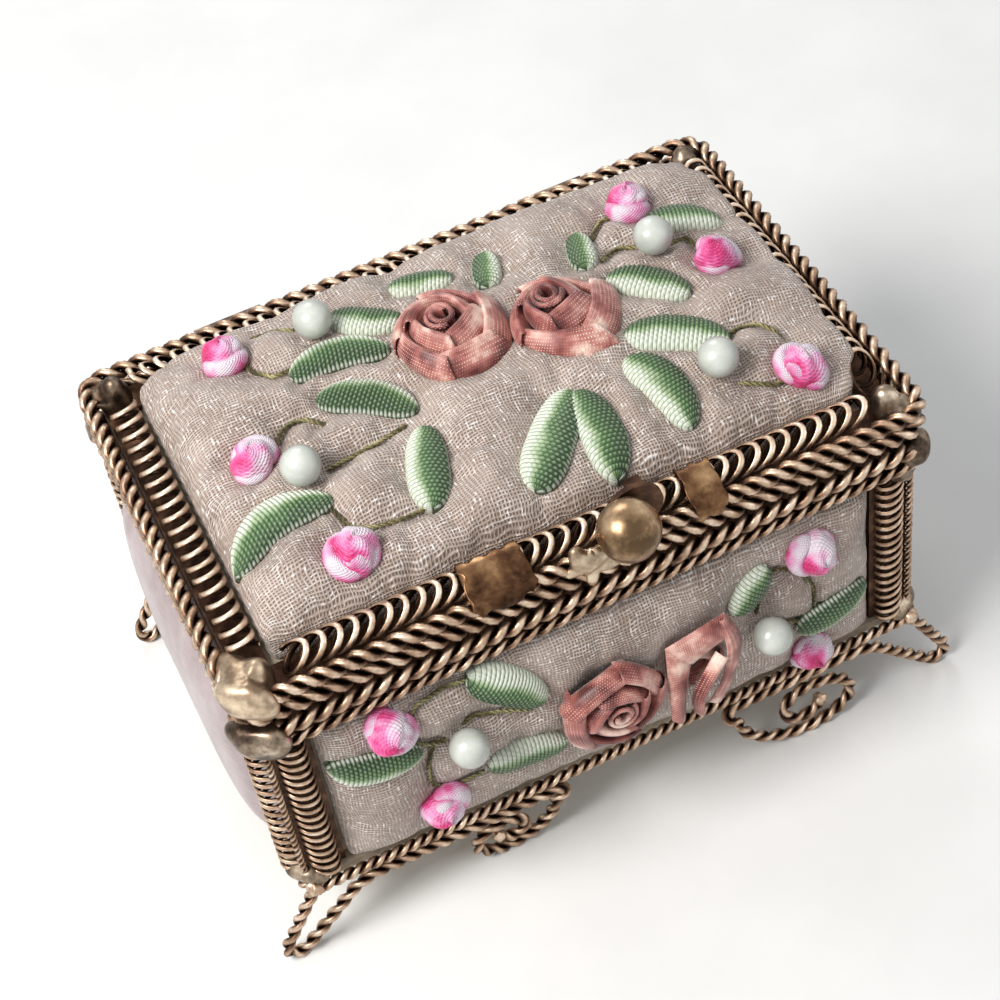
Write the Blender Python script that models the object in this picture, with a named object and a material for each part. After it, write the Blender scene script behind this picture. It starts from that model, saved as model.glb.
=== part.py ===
"""Trinket casket: a padded, embroidered box in a frame of gilt wire.

The box is a tray of card walls on a card floor, lined with satin, with a padded cover on each
outer wall. Gilt wire holds it together: a post at each corner, a rim with a rope and a cord
round the mouth, a cord round the foot, and four feet, each bent from one length of twisted
wire into a scroll, a straight run and a splayed loop. The lid is a card board in a metal
frame with two ropes round it, an open coil of wire lying on its border, and a cushion worked
with ribbon leaves, buds, roses and pearls. A ball knob stands at its front edge, and two
small hinges join it to the rim at the back.

Metres, +Z up, +X to the right along the front, -Y to the front. The origin lies on the
ground under the middle of the whole object.
"""

import math

import bmesh
import bpy
from mathutils import Matrix, Vector

# Units and clearances
MM = 0.001
GAP = 0.3 * MM  # left between pieces that touch
SINK = 0.3 * MM  # how far shapes that are one piece run into each other
OVERRUN = 3.0 * MM  # how far a cutter runs past what it cuts

# Wire, sheet and card
ROPE_RADIUS = 1.0 * MM
CORD_RADIUS = 0.7 * MM
FOOT_WIRE_RADIUS = 0.75 * MM
COIL_WIRE_RADIUS = 0.28 * MM
COIL_RADIUS = 1.75 * MM  # outside of the coil
SHEET = 0.5 * MM
SKIRT = 0.8 * MM
WALL = 1.2 * MM
LINING = 0.8 * MM
MIN_CORNER = 0.2 * MM

# Plan of the box, between the centre lines of the ropes
FRAME_LENGTH = 76.0 * MM
FRAME_DEPTH = 50.2 * MM
FOOT_INSET = 0.7 * MM  # how far the cord round the foot lies in from the ropes at each end
CORNER_RADIUS = 2.6 * MM

# Heights
FOOT_DROP = 8.6 * MM  # from the ground to the middle of the foot wire
PANEL_HEIGHT = 23.8 * MM
RIM_LIP = 0.6 * MM
RIM_FLANGE = 0.8 * MM
LID_BAND_HEIGHT = 1.8 * MM

# Padding
PAD_EDGE = 0.9 * MM
PAD_TUCK = 0.3 * MM  # how far a pad's lower edge is drawn in
FRONT_PAD_CROWN = 2.6 * MM
SIDE_PAD_CROWN = 3.4 * MM
PAD_CORNER = 1.5 * MM
CUSHION_SIDE = 3.4 * MM
CUSHION_CROWN = 4.2 * MM
LID_LINING_THICKNESS = 1.1 * MM
LID_LINING_MARGIN = 1.0 * MM

# Corner posts
POST_STRIP = 0.7 * MM
POST_WIDTH = 4.5 * MM
POST_COIL_RADIUS = 1.3 * MM
POST_COIL_INSET = 2.3 * MM  # from the corner to the middle of the coil
RIDGE_RADIUS = 0.55 * MM
EDGE_WIRE_RADIUS = 0.35 * MM

# Coils on the lid
FRONT_COIL_CURLS = 19
SIDE_COIL_CURLS = 11
POINTS_PER_CURL = 8

# Feet: where each scroll starts from the middle of its side, and how wide it is
SCROLL_START = {"left": 8.2 * MM, "right": 14.2 * MM}
SCROLL_WIDTH = {"left": 9.8 * MM, "right": 14.2 * MM}
SCROLL_LEAN = {"left": -1.3 * MM, "right": 1.3 * MM}
SCROLL_TURN_RADIUS = 1.15 * MM
SCROLL_QUARTER_SHARES = (
    (0.61, 1.0),
    (0.39, 0.54),
    (0.35, 0.53),
    (0.25, 0.4),
    (0.15, 0.34),
    (0.17, 0.24),
)
FLAT_DEPTH = 0.15 * MM  # cut from the wire where it stands on the ground
LOOP_REACH = 2.1 * MM  # the loop's tip beyond the end rope's centre line
LOOP_TIP_RADIUS = 1.3 * MM
LOOP_OUTER_SPLAY = math.radians(30)
LOOP_INNER_SPLAY = math.radians(46)
LOOP_BEND = 1.6 * MM
QUARTER_STEPS = 4

# Knob
KNOB_OFFSET = 3.1 * MM  # it stands a little right of the middle
KNOB_RADIUS = 3.3 * MM
KNOB_PLATE_RADIUS = 3.2 * MM
KNOB_PLATE_OFFSET = 1.9 * MM  # the plate lies to the right of the ball
KNOB_PLATE = 0.6 * MM
KNOB_RISE = 4.1 * MM  # its centre above the upper rope's
KNOB_FORWARD = 2.1 * MM  # and in front of it
STRAP_WIDTH = 1.8 * MM
STRAP_OFFSET = 1.6 * MM  # and its strap to the right of the plate's middle

# Hinges
HINGE_SPACING = 40.0 * MM
HINGE_WIDTH = 8.0 * MM
KNUCKLE_RADIUS = 1.25 * MM
PIN_RADIUS = 0.45 * MM
PIN_HEAD_RADIUS = 0.9 * MM
PIN_HEAD = 0.5 * MM
HINGE_LEAF = 1.6 * MM
MIDDLE_KNUCKLE = 2.4 * MM
HINGE_SETBACK = 1.3 * MM  # the pin's centre behind the outside of the ropes

# Solder patches on the front coil
PATCH_LENGTHS = {"left": 7.4 * MM, "right": 4.0 * MM}
PATCH_THICKNESS = 0.6 * MM
PATCH_PLACES = {"left": -10.0 * MM, "right": 12.8 * MM}
PATCH_START = math.radians(72)
PATCH_END = math.radians(160)

# Trimmings
PEARL_RADIUS = 2.0 * MM
ROSE_RADIUS = 5.8 * MM
ROSE_HEIGHT = 4.4 * MM
ROSE_RIBBON = 0.5 * MM
ROSE_CORE = 0.7 * MM
ROSE_BASE = 1.0 * MM
ROSE_TURNS = 2.6
ROSE_FLARE_SHARE = 0.16
LEAF_LENGTH = 11.0 * MM
LEAF_WIDTH = 4.4 * MM
LEAF_THICKNESS = 1.6 * MM
BUD_LENGTH = 5.4 * MM
BUD_WIDTH = 4.8 * MM
BUD_HEIGHT = 3.6 * MM

# Where the trimmings lie, as shares of half the cushion or pad each way, with their turn in
# degrees and, for leaves and roses, their size as a share of the largest usual one
LID_LEAF_SHARES = (
    (-0.82, -0.46, 10, 1.0),
    (-0.39, 0.43, -10, 0.95),
    (-0.38, 0.05, -39, 0.95),
    (-0.33, -0.52, 71, 0.95),
    (0.05, -0.66, 48, 1.1),
    (0.19, -0.72, 86, 0.95),
    (0.58, -0.36, -32, 0.95),
    (0.44, -0.64, -80, 0.95),
    (0.61, 0.05, -44, 0.8),
    (0.86, 0.45, -14, 0.72),
    (0.49, 0.47, -17, 0.5),
    (0.19, 0.63, -21, 0.5),
    (-0.02, 0.74, -21, 0.6),
    (-0.25, 0.62, -39, 0.7),
)
LID_BUD_SHARES = (
    (-0.71, 0.78, -20),
    (-0.79, -0.03, 20),
    (-0.66, -0.86, 30),
    (0.73, 0.69, -10),
    (0.86, 0.07, 35),
    (0.86, -0.88, 20),
)
LID_PEARL_SHARES = ((-0.41, 0.68), (-0.68, -0.28), (0.7, 0.28), (0.62, -0.69))
LID_ROSE_SHARES = {"left": (-0.03, 0.17, 0, 1.0), "right": (0.3, 0.0, 150, 0.94)}
FRONT_LEAF_SHARES = (
    (-0.84, 0.38, -9, 0.85),
    (-0.36, 0.62, -45, 0.9),
    (-0.34, -0.33, -11, 0.8),
    (0.48, 0.46, 47, 0.55),
    (0.82, -0.29, 13, 0.8),
)
FRONT_BUD_SHARES = (
    (-0.77, 0.76, 20),
    (-0.66, -0.49, -10),
    (0.74, 0.66, 40),
    (0.73, -0.74, 25),
)
FRONT_PEARL_SHARES = {"left": (-0.55, 0.33), "right": (0.55, -0.02)}
FRONT_ROSE_SHARES = {"left": (-0.04, -0.02, 30, 0.93), "right": (0.27, -0.08, 200, 0.72)}

# Steps of round shapes
CORNER_STEPS = 4
ROUND_STEPS = 16
PEARL_STEPS = 10
BALL_STEPS = 16
TRIM_STEPS = 8

# Plan, worked out from the sizes above
rope_x = FRAME_LENGTH / 2
rope_y = FRAME_DEPTH / 2
band_x = rope_x - ROPE_RADIUS - GAP
band_y = rope_y - ROPE_RADIUS - GAP
coil_x = rope_x - ROPE_RADIUS - GAP - COIL_RADIUS
coil_y = rope_y - ROPE_RADIUS - GAP - COIL_RADIUS
cushion_x = coil_x - COIL_RADIUS - GAP
cushion_y = coil_y - COIL_RADIUS - GAP
wall_x = band_x - SKIRT - GAP
wall_y = band_y - SKIRT - GAP
lining_x = wall_x - WALL - GAP
lining_y = wall_y - WALL - GAP
mouth_x = lining_x - LINING
mouth_y = lining_y - LINING
panel_x = wall_x + GAP
panel_y = wall_y + GAP
post_end_x = panel_x + POST_STRIP - POST_WIDTH
post_end_y = panel_y + POST_STRIP - POST_WIDTH
foot_x = rope_x - FOOT_INSET
foot_y = rope_y
foot_corner = CORNER_RADIUS - FOOT_INSET

# Heights, from the ground up
foot_cord_z = FOOT_DROP + FOOT_WIRE_RADIUS + GAP + CORD_RADIUS
panel_z = foot_cord_z + CORD_RADIUS + GAP
panel_top = panel_z + PANEL_HEIGHT
floor_z = panel_z - WALL - GAP
rim_cord_z = panel_top + GAP + CORD_RADIUS
rim_rope_z = rim_cord_z + CORD_RADIUS + GAP + GAP + ROPE_RADIUS
rim_z = panel_top + GAP
rim_top = rim_rope_z + ROPE_RADIUS + RIM_LIP
wall_top = rim_top - RIM_FLANGE - GAP
lid_z = rim_top + GAP
lower_rope_z = lid_z + ROPE_RADIUS
upper_rope_z = lower_rope_z + 2 * ROPE_RADIUS + GAP
border_z = lid_z + LID_BAND_HEIGHT
board_top = border_z - SHEET - GAP
cushion_z = board_top + GAP
coil_z = border_z + GAP + COIL_RADIUS
cushion_top = cushion_z + CUSHION_SIDE + CUSHION_CROWN
hinge_y = rope_y + ROPE_RADIUS + HINGE_SETBACK
hinge_z = (rim_top + lid_z) / 2

# The origin lies under the middle of the whole object, from front rose or knob to hinge
rose_reach = panel_y + PAD_EDGE + FRONT_PAD_CROWN + GAP + ROSE_HEIGHT
knob_reach = rope_y + KNOB_FORWARD + KNOB_RADIUS
front_reach = max(rose_reach, knob_reach)
back_reach = hinge_y + KNUCKLE_RADIUS
shift_y = (front_reach - back_reach) / 2

# Crowned outlines: how far in from the edge, and how high, as shares
PILLOW_SHARES = (
    (0.0, 0.0),
    (0.03, 0.36),
    (0.12, 0.66),
    (0.30, 0.88),
    (0.60, 0.98),
    (0.86, 1.0),
)


def clear_scene():
    """Removes whatever the file opened with."""
    for obj in list(bpy.data.objects):
        bpy.data.objects.remove(obj, do_unlink=True)


def material(name, color, metallic, roughness):
    """A plain Principled material."""
    made = bpy.data.materials.new(name)
    made.use_nodes = True
    shader = made.node_tree.nodes["Principled BSDF"]
    shader.inputs["Base Color"].default_value = (*color, 1.0)
    shader.inputs["Metallic"].default_value = metallic
    shader.inputs["Roughness"].default_value = roughness
    made.diffuse_color = (*color, 1.0)
    return made


def empty(name, location, parent=None):
    """An empty that pieces hang from."""
    made = bpy.data.objects.new(name, None)
    bpy.context.scene.collection.objects.link(made)
    made.location = location
    made.parent = parent
    return made


def add(name, mesh, finish, parent, location=(0, 0, 0), turn=None):
    """One object for one piece, placed under its parent."""
    made = bpy.data.objects.new(name, mesh)
    bpy.context.scene.collection.objects.link(made)
    mesh.materials.append(finish)
    made.parent = parent
    made.location = location
    if turn is not None:
        made.rotation_euler = turn
    return made


def smooth(mesh, degrees=40):
    """Round faces shaded smooth, edges sharper than this left sharp."""
    mesh.shade_smooth()
    mesh.set_sharp_from_angle(angle=math.radians(degrees))
    return mesh


def mesh_of(name, points, faces):
    """A mesh with its faces turned outward."""
    mesh = bpy.data.meshes.new(name)
    build = bmesh.new()
    corners = [build.verts.new(point) for point in points]
    for face in faces:
        build.faces.new([corners[i] for i in face])
    bmesh.ops.recalc_face_normals(build, faces=build.faces)
    build.to_mesh(mesh)
    build.free()
    return smooth(mesh)


def loft(name, loops, ring=False):
    """A skin over loops of as many points each, capped at both ends or closed into a ring."""
    count = len(loops[0])
    points = [point for loop in loops for point in loop]
    faces = []
    spans = len(loops) if ring else len(loops) - 1
    for row in range(spans):
        here = row * count
        there = (row + 1) % len(loops) * count
        for i in range(count):
            j = (i + 1) % count
            faces.append((here + i, here + j, there + j, there + i))
    if not ring:
        faces.append(tuple(range(count)))
        faces.append(tuple(range(len(points) - count, len(points))))
    return mesh_of(name, points, faces)


def outline(half_x, half_y, radius, z, steps=CORNER_STEPS):
    """A rectangle with round corners, as points anticlockwise at one height."""
    radius = max(radius, MIN_CORNER)
    points = []
    for quarter, (side_x, side_y) in enumerate(((1, 1), (-1, 1), (-1, -1), (1, -1))):
        for step in range(steps):
            turn = math.pi / 2 * (quarter + step / (steps - 1))
            x = side_x * (half_x - radius) + radius * math.cos(turn)
            y = side_y * (half_y - radius) + radius * math.sin(turn)
            points.append(Vector((x, y, z)))
    return points


def frame_corner(half_x):
    """The corner radius of an outline that runs inside the ropes at an even distance."""
    return CORNER_RADIUS - (rope_x - half_x)


def ring_mesh(name, half_x, half_y, section):
    """A frame round the box, from a section of (outset, height) points round its edge."""
    loops = [
        outline(half_x + outset, half_y + outset, frame_corner(half_x + outset), z)
        for outset, z in section
    ]
    return loft(name, loops, ring=True)


def slab_mesh(name, half_x, half_y, radius, low, high):
    """A flat plate with round corners."""
    return loft(name, [outline(half_x, half_y, radius, z) for z in (low, high)])


def box_mesh(name, low, high):
    """A plain block between two corners."""
    corners = [
        [(low[0], low[1], z), (high[0], low[1], z), (high[0], high[1], z), (low[0], high[1], z)]
        for z in (low[2], high[2])
    ]
    return loft(name, corners)


def lathe_mesh(name, profile, steps):
    """A turned solid about Z from (radius, height) points, capped at both ends."""
    loops = []
    for radius, z in profile:
        ring = []
        for step in range(steps):
            turn = math.tau * step / steps
            ring.append(Vector((radius * math.cos(turn), radius * math.sin(turn), z)))
        loops.append(ring)
    return loft(name, loops)


def ball_mesh(name, radii, steps):
    """A ball, stretched along its three axes."""
    mesh = bpy.data.meshes.new(name)
    build = bmesh.new()
    bmesh.ops.create_uvsphere(build, u_segments=steps, v_segments=steps * 3 // 4, radius=1.0)
    bmesh.ops.scale(build, vec=radii, verts=build.verts)
    build.to_mesh(mesh)
    build.free()
    return smooth(mesh, 60)


def leaf_mesh(name, size_share):
    """A puffed ribbon stitch: a ball drawn out along X, with its poles at the two tips."""
    mesh = bpy.data.meshes.new(name)
    build = bmesh.new()
    bmesh.ops.create_uvsphere(build, u_segments=TRIM_STEPS - 2, v_segments=TRIM_STEPS - 2, radius=0.5)
    bmesh.ops.rotate(build, matrix=Matrix.Rotation(math.pi / 2, 3, "Y"), verts=build.verts)
    size = (LEAF_LENGTH * size_share, LEAF_WIDTH * size_share, LEAF_THICKNESS)
    bmesh.ops.scale(build, vec=size, verts=build.verts)
    build.to_mesh(mesh)
    build.free()
    return smooth(mesh, 60)


def tube(name, points, radius, finish, parent, resolution, cyclic=False):
    """A round wire along the points."""
    curve = bpy.data.curves.new(name, "CURVE")
    curve.dimensions = "3D"
    curve.bevel_depth = radius
    curve.bevel_resolution = resolution
    curve.use_fill_caps = not cyclic
    spline = curve.splines.new("POLY")
    spline.points.add(len(points) - 1)
    for spot, point in zip(spline.points, points):
        spot.co = (*point, 1.0)
    spline.use_cyclic_u = cyclic
    spline.use_smooth = True
    return add(name, curve, finish, parent)


def hide_helper(obj):
    """A cutter or a shape to be joined: it isn't a piece of the box."""
    obj.hide_render = True
    obj.display_type = "WIRE"
    return obj


def helper(name, mesh, parent, location=(0, 0, 0), turn=None):
    """A helper shape under the same parent as what it works on."""
    made = bpy.data.objects.new(name, mesh)
    bpy.context.scene.collection.objects.link(made)
    made.parent = parent
    made.location = location
    if turn is not None:
        made.rotation_euler = turn
    return hide_helper(made)


def combine(piece, other, operation):
    """Cuts the other shape from the piece, or joins it on."""
    modifier = piece.modifiers.new(other.name, "BOOLEAN")
    modifier.operation = operation
    modifier.object = other


def rod(name, radius, length, parent, location, steps=ROUND_STEPS):
    """A helper cylinder along X."""
    mesh = lathe_mesh(name, ((radius, -length / 2), (radius, length / 2)), steps)
    return helper(name, mesh, parent, location, (0, math.pi / 2, 0))


def face_turn(side):
    """The turn about Z that faces a wall's pad outward: 0 for the front, then right, back, left."""
    return math.pi / 2 * side


def wall_place(side, reach, z):
    """A point on the outside of a wall, reach out from the middle of the box."""
    turn = face_turn(side)
    return (reach * math.sin(turn), -reach * math.cos(turn), z)


def pillow_mesh(name, half_u, half_v, edge, crown, corner):
    """A pad lying on its back, height along Z: its lower edge drawn in, a side, then a crown."""
    depth = min(half_u, half_v)
    loops = [
        outline(half_u - PAD_TUCK, half_v - PAD_TUCK, corner, 0),
        outline(half_u, half_v, corner, PAD_TUCK),
        outline(half_u, half_v, corner, edge),
    ]
    for inset_share, rise_share in PILLOW_SHARES[1:]:
        inset = inset_share * depth
        height = edge + rise_share * crown
        loops.append(outline(half_u - inset, half_v - inset, corner, height))
    return loft(name, loops)


def pillow_height(half_u, half_v, edge, crown, u, v):
    """How high such a pad stands at a point."""
    depth = min(half_u, half_v)
    inset = min(half_u - abs(u), half_v - abs(v)) / depth
    for (low, low_rise), (high, high_rise) in zip(PILLOW_SHARES, PILLOW_SHARES[1:]):
        if inset < high:
            return edge + crown * (low_rise + (high_rise - low_rise) * (inset - low) / (high - low))
    return edge + crown


def stitch(pad, half_u, half_v, edge, crown, parent, leaves, buds):
    """Joins ribbon leaves and buds, which are stitched through the pad, to it."""
    radii = (BUD_LENGTH / 2, BUD_WIDTH / 2, BUD_HEIGHT / 2)
    bud = ball_mesh(pad.name + "_bud", radii, TRIM_STEPS)
    meshes = [(leaf_mesh(pad.name + "_leaf", share[3]), share) for share in leaves]
    meshes += [(bud, share) for share in buds]
    for number, (mesh, share) in enumerate(meshes):
        spot = on_pad(pad, half_u, half_v, edge, crown, share, 0)
        turn = pad.rotation_euler.to_matrix() @ Matrix.Rotation(math.radians(share[2]), 3, "Z")
        made = helper(f"{mesh.name}_{number}", mesh, parent, spot, turn.to_euler())
        combine(pad, made, "UNION")


def on_pad(pad, half_u, half_v, edge, crown, shares, rise):
    """A place on a pad, a little above its surface."""
    u = shares[0] * half_u
    v = shares[1] * half_v
    height = pillow_height(half_u, half_v, edge, crown, u, v) + rise
    return pad.matrix_basis @ Vector((u, v, height))


def rose_mesh(name, radius):
    """A ribbon wound into a rose: a flaring wall that spirals out and sinks, on a round base."""
    steps = round(ROSE_TURNS * ROUND_STEPS * 5 / 8)
    foot_radius = radius * (1 - ROSE_FLARE_SHARE) - ROSE_RIBBON - SINK
    loops = []
    for step in range(steps + 1):
        share = step / steps
        turn = math.tau * ROSE_TURNS * share
        inner = ROSE_CORE + (foot_radius - ROSE_CORE) * share
        flare = radius * ROSE_FLARE_SHARE * share
        top = ROSE_HEIGHT * (1 - share * share / 3)
        out = Vector((math.cos(turn), math.sin(turn), 0))
        up = Vector((0, 0, 1))
        loops.append(
            [
                out * inner + up * SINK,
                out * (inner + ROSE_RIBBON) + up * SINK,
                out * (inner + ROSE_RIBBON + flare) + up * (top - SINK),
                out * (inner + flare) + up * top,
            ]
        )
    return loft(name, loops)


def rose(name, parent, place, turn, radius, finish):
    """A wound ribbon rose sewn on by its base."""
    base_radius = radius * (1 - ROSE_FLARE_SHARE)
    base = lathe_mesh(name, ((base_radius, 0), (base_radius, ROSE_BASE)), ROUND_STEPS)
    made = add(name, base, finish, parent, place, turn)
    ribbon = helper(name + "_ribbon", rose_mesh(name + "_ribbon", radius), parent, place, turn)
    combine(made, ribbon, "UNION")
    return made


def helix(half_length, curls, along, centre):
    """The path of a coil along X or Y, its two ends running straight for one wire diameter."""
    radius = COIL_RADIUS - COIL_WIRE_RADIUS
    tail = 2 * COIL_WIRE_RADIUS
    wound = half_length - tail
    count = curls * POINTS_PER_CURL
    points = []
    for step in range(count + 1):
        turn = math.tau * step / POINTS_PER_CURL
        run = wound * (2 * step / count - 1)
        points.append((run, radius * math.cos(turn), radius * math.sin(turn)))
    first = (-half_length, points[0][1], points[0][2])
    last = (half_length, points[-1][1], points[-1][2])
    placed = []
    for run, across, up in (first, *points, last):
        local = (run, across, up) if along == "x" else (across, run, up)
        placed.append(Vector(local) + Vector(centre))
    return placed


def least_gap(points, radius):
    """The least gap of a coil to itself, measured between points a curl or more apart."""
    near = POINTS_PER_CURL * 3 // 4
    return min(
        (a - b).length - 2 * radius
        for i, a in enumerate(points)
        for b in points[i + near : i + 2 * POINTS_PER_CURL]
    )


def arc(centre, radii, start, end, steps):
    """Points along a quarter or other stretch of an ellipse, the first one left out."""
    points = []
    for step in range(1, steps + 1):
        turn = start + (end - start) * step / steps
        points.append((centre[0] + radii[0] * math.cos(turn), centre[1] + radii[1] * math.sin(turn)))
    return points


def scroll_points(hand):
    """The scroll of a foot, from its inner end out to the straight run, as (out, height)."""
    start = SCROLL_START[hand]
    width = SCROLL_WIDTH[hand]
    lowest = FOOT_WIRE_RADIUS - FLAT_DEPTH
    drop = FOOT_DROP - 2 * SCROLL_TURN_RADIUS - lowest
    here = (start, FOOT_DROP - 2 * SCROLL_TURN_RADIUS)
    points = [here]
    for quarter, (u_share, z_share) in enumerate(SCROLL_QUARTER_SHARES):
        radii = (u_share * width, z_share * drop)
        begin = math.pi + math.pi / 2 * quarter
        centre = (here[0] - radii[0] * math.cos(begin), here[1] - radii[1] * math.sin(begin))
        points += arc(centre, radii, begin, begin + math.pi / 2, QUARTER_STEPS)
        here = points[-1]
    points.reverse()
    turn_centre = (start, FOOT_DROP - SCROLL_TURN_RADIUS)
    turn_radii = (SCROLL_TURN_RADIUS, SCROLL_TURN_RADIUS)
    points += arc(turn_centre, turn_radii, -math.pi / 2, -math.pi * 3 / 2, QUARTER_STEPS)
    return points


def loop_points():
    """The splayed loop of a foot, from the straight run round its tip to the corner."""
    lowest = FOOT_WIRE_RADIUS - FLAT_DEPTH
    tip = (rope_x + LOOP_REACH, lowest + LOOP_TIP_RADIUS)
    radii = (LOOP_TIP_RADIUS, LOOP_TIP_RADIUS)
    start = math.pi + LOOP_INNER_SPLAY
    end = math.tau + LOOP_OUTER_SPLAY
    first = (
        tip[0] + LOOP_TIP_RADIUS * math.cos(start),
        tip[1] + LOOP_TIP_RADIUS * math.sin(start),
    )
    climb = FOOT_DROP - LOOP_BEND - first[1]
    knee = (first[0] - climb * math.tan(LOOP_INNER_SPLAY), FOOT_DROP - LOOP_BEND)
    bend_share = 0.4
    soft_knee = (knee[0] - LOOP_BEND * bend_share, knee[1] + LOOP_BEND * bend_share)
    run_end = (knee[0] - 2 * LOOP_BEND, FOOT_DROP)
    points = [run_end, (run_end[0] + LOOP_BEND / 2, FOOT_DROP - LOOP_BEND / 8), soft_knee, knee, first]
    points += arc(tip, radii, start, end, 2 * QUARTER_STEPS)
    outer = points[-1]
    rise = FOOT_DROP - outer[1]
    points.append((outer[0] - rise * math.tan(LOOP_OUTER_SPLAY), FOOT_DROP))
    return points


def foot(name, end, side, finish, parent, ground):
    """One foot: a length of twisted wire bent into a scroll, a run and a loop."""
    hand = "left" if end < 0 else "right"
    flat = scroll_points(hand) + loop_points()
    points = []
    for index, (out, z) in enumerate(flat):
        in_scroll = index < len(flat) - len(loop_points())
        lean = SCROLL_LEAN[hand] * (FOOT_DROP - z) / FOOT_DROP if in_scroll else 0.0
        points.append(Vector((end * out, side * (foot_y + lean), z)))
    made = tube(name, points, FOOT_WIRE_RADIUS, finish, parent, 1)
    bpy.context.view_layer.update()
    solid = bpy.data.meshes.new_from_object(made.evaluated_get(bpy.context.evaluated_depsgraph_get()))
    solid.name = name
    bpy.data.objects.remove(made, do_unlink=True)
    made = add(name, solid, finish, parent)
    weld = made.modifiers.new("weld", "WELD")
    weld.merge_threshold = 0.00001
    combine(made, ground, "DIFFERENCE")
    return made


def post_section():
    """The corner post's section: an angle strip with a ridge wire at the corner, half a coil
    on each leg and a fine wire along each edge, for the corner at +X +Y."""
    face_x = panel_x + POST_STRIP
    face_y = panel_y + POST_STRIP
    half_round = (
        (face_x - POST_WIDTH + EDGE_WIRE_RADIUS, EDGE_WIRE_RADIUS),
        (face_x - POST_COIL_INSET, POST_COIL_RADIUS),
    )
    points = [(panel_x, panel_y), (post_end_x, panel_y), (post_end_x, face_y)]
    for centre, radius in half_round:
        points += arc((centre, face_y), (radius, radius), math.pi, 0, QUARTER_STEPS + 2)
    points += arc((face_x, face_y), (RIDGE_RADIUS, RIDGE_RADIUS), math.pi, -math.pi / 2, 2 * QUARTER_STEPS)
    half_round = (
        (face_y - POST_COIL_INSET, POST_COIL_RADIUS),
        (face_y - POST_WIDTH + EDGE_WIRE_RADIUS, EDGE_WIRE_RADIUS),
    )
    for centre, radius in half_round:
        points += arc((face_x, centre), (radius, radius), math.pi / 2, -math.pi / 2, QUARTER_STEPS + 2)
    points += [(face_x, post_end_y), (panel_x, post_end_y)]
    return points


def post(name, end, side, finish, parent):
    """One corner post."""
    loops = [[Vector((end * x, side * y, z)) for x, y in post_section()] for z in (panel_z, panel_top)]
    return add(name, loft(name, loops), finish, parent)


def rope_ring(name, half_x, half_y, corner, z, radius, finish, parent):
    """A rope or cord that runs round the box."""
    points = outline(half_x, half_y, corner, z)
    return tube(name, points, radius, finish, parent, 2, cyclic=True)


def hinge_leaf(name, x, up, finish, parent, knuckles):
    """A hinge leaf lying on the ropes, with its knuckles and their bore, up or down from the pin."""
    near = rope_y + ROPE_RADIUS + GAP
    far = near + SHEET
    inner = KNUCKLE_RADIUS + GAP
    low, high = sorted((hinge_z + up * inner, hinge_z + up * (inner + HINGE_LEAF)))
    half = HINGE_WIDTH / 2
    place = (x, 0, 0)
    leaf = add(name, box_mesh(name, (-half, near, low), (half, far, high)), finish, parent, place)
    for number, (start, end) in enumerate(knuckles):
        reach = up * (inner + SINK)
        low, high = sorted((hinge_z, hinge_z + reach))
        web = box_mesh(name + "_web", (start, near, low), (end, far, high))
        combine(leaf, helper(f"{name}_web_{number}", web, parent, place), "UNION")
        middle = (x + (start + end) / 2, hinge_y, hinge_z)
        combine(leaf, rod(f"{name}_knuckle_{number}", KNUCKLE_RADIUS, end - start, parent, middle), "UNION")
    bore = rod(name + "_bore", PIN_RADIUS + GAP, HINGE_WIDTH + 2 * OVERRUN, parent, (x, hinge_y, hinge_z))
    combine(leaf, bore, "DIFFERENCE")
    return leaf


def hinge_pin(name, x, finish, parent):
    """A pin with a head at each end, through the knuckles."""
    reach = HINGE_WIDTH / 2 + GAP
    profile = (
        (PIN_HEAD_RADIUS, -reach - PIN_HEAD),
        (PIN_HEAD_RADIUS, -reach),
        (PIN_RADIUS, -reach),
        (PIN_RADIUS, reach),
        (PIN_HEAD_RADIUS, reach),
        (PIN_HEAD_RADIUS, reach + PIN_HEAD),
    )
    mesh = lathe_mesh(name, profile, ROUND_STEPS // 2)
    return add(name, mesh, finish, parent, (x, hinge_y, hinge_z), (0, math.pi / 2, 0))


def base_walls(card, satin, parent):
    """The tray: a floor, four walls on it, and the lining inside them."""
    inset = CORD_RADIUS + GAP
    size = (foot_x - inset, foot_y - inset, foot_corner - inset)
    add("base_floor", slab_mesh("base_floor", *size, floor_z, floor_z + WALL), card, parent)
    low = floor_z + WALL + GAP
    for name, side in (("front_wall", -1), ("back_wall", 1)):
        near, far = sorted((side * (wall_y - WALL), side * wall_y))
        mesh = box_mesh(name, (-wall_x, near, low), (wall_x, far, wall_top))
        add(name, mesh, card, parent)
    end_y = wall_y - WALL - GAP
    for name, side in (("left_wall", -1), ("right_wall", 1)):
        near, far = sorted((side * (wall_x - WALL), side * wall_x))
        mesh = box_mesh(name, (near, -end_y, low), (far, end_y, wall_top))
        add(name, mesh, card, parent)
    loops = [
        outline(lining_x, lining_y, PAD_CORNER, low),
        outline(lining_x, lining_y, PAD_CORNER, wall_top),
        outline(mouth_x, mouth_y, PAD_CORNER - LINING, wall_top),
        outline(mouth_x, mouth_y, PAD_CORNER - LINING, low + LINING),
    ]
    add("base_lining", loft("base_lining", loops), satin, parent)


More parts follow.
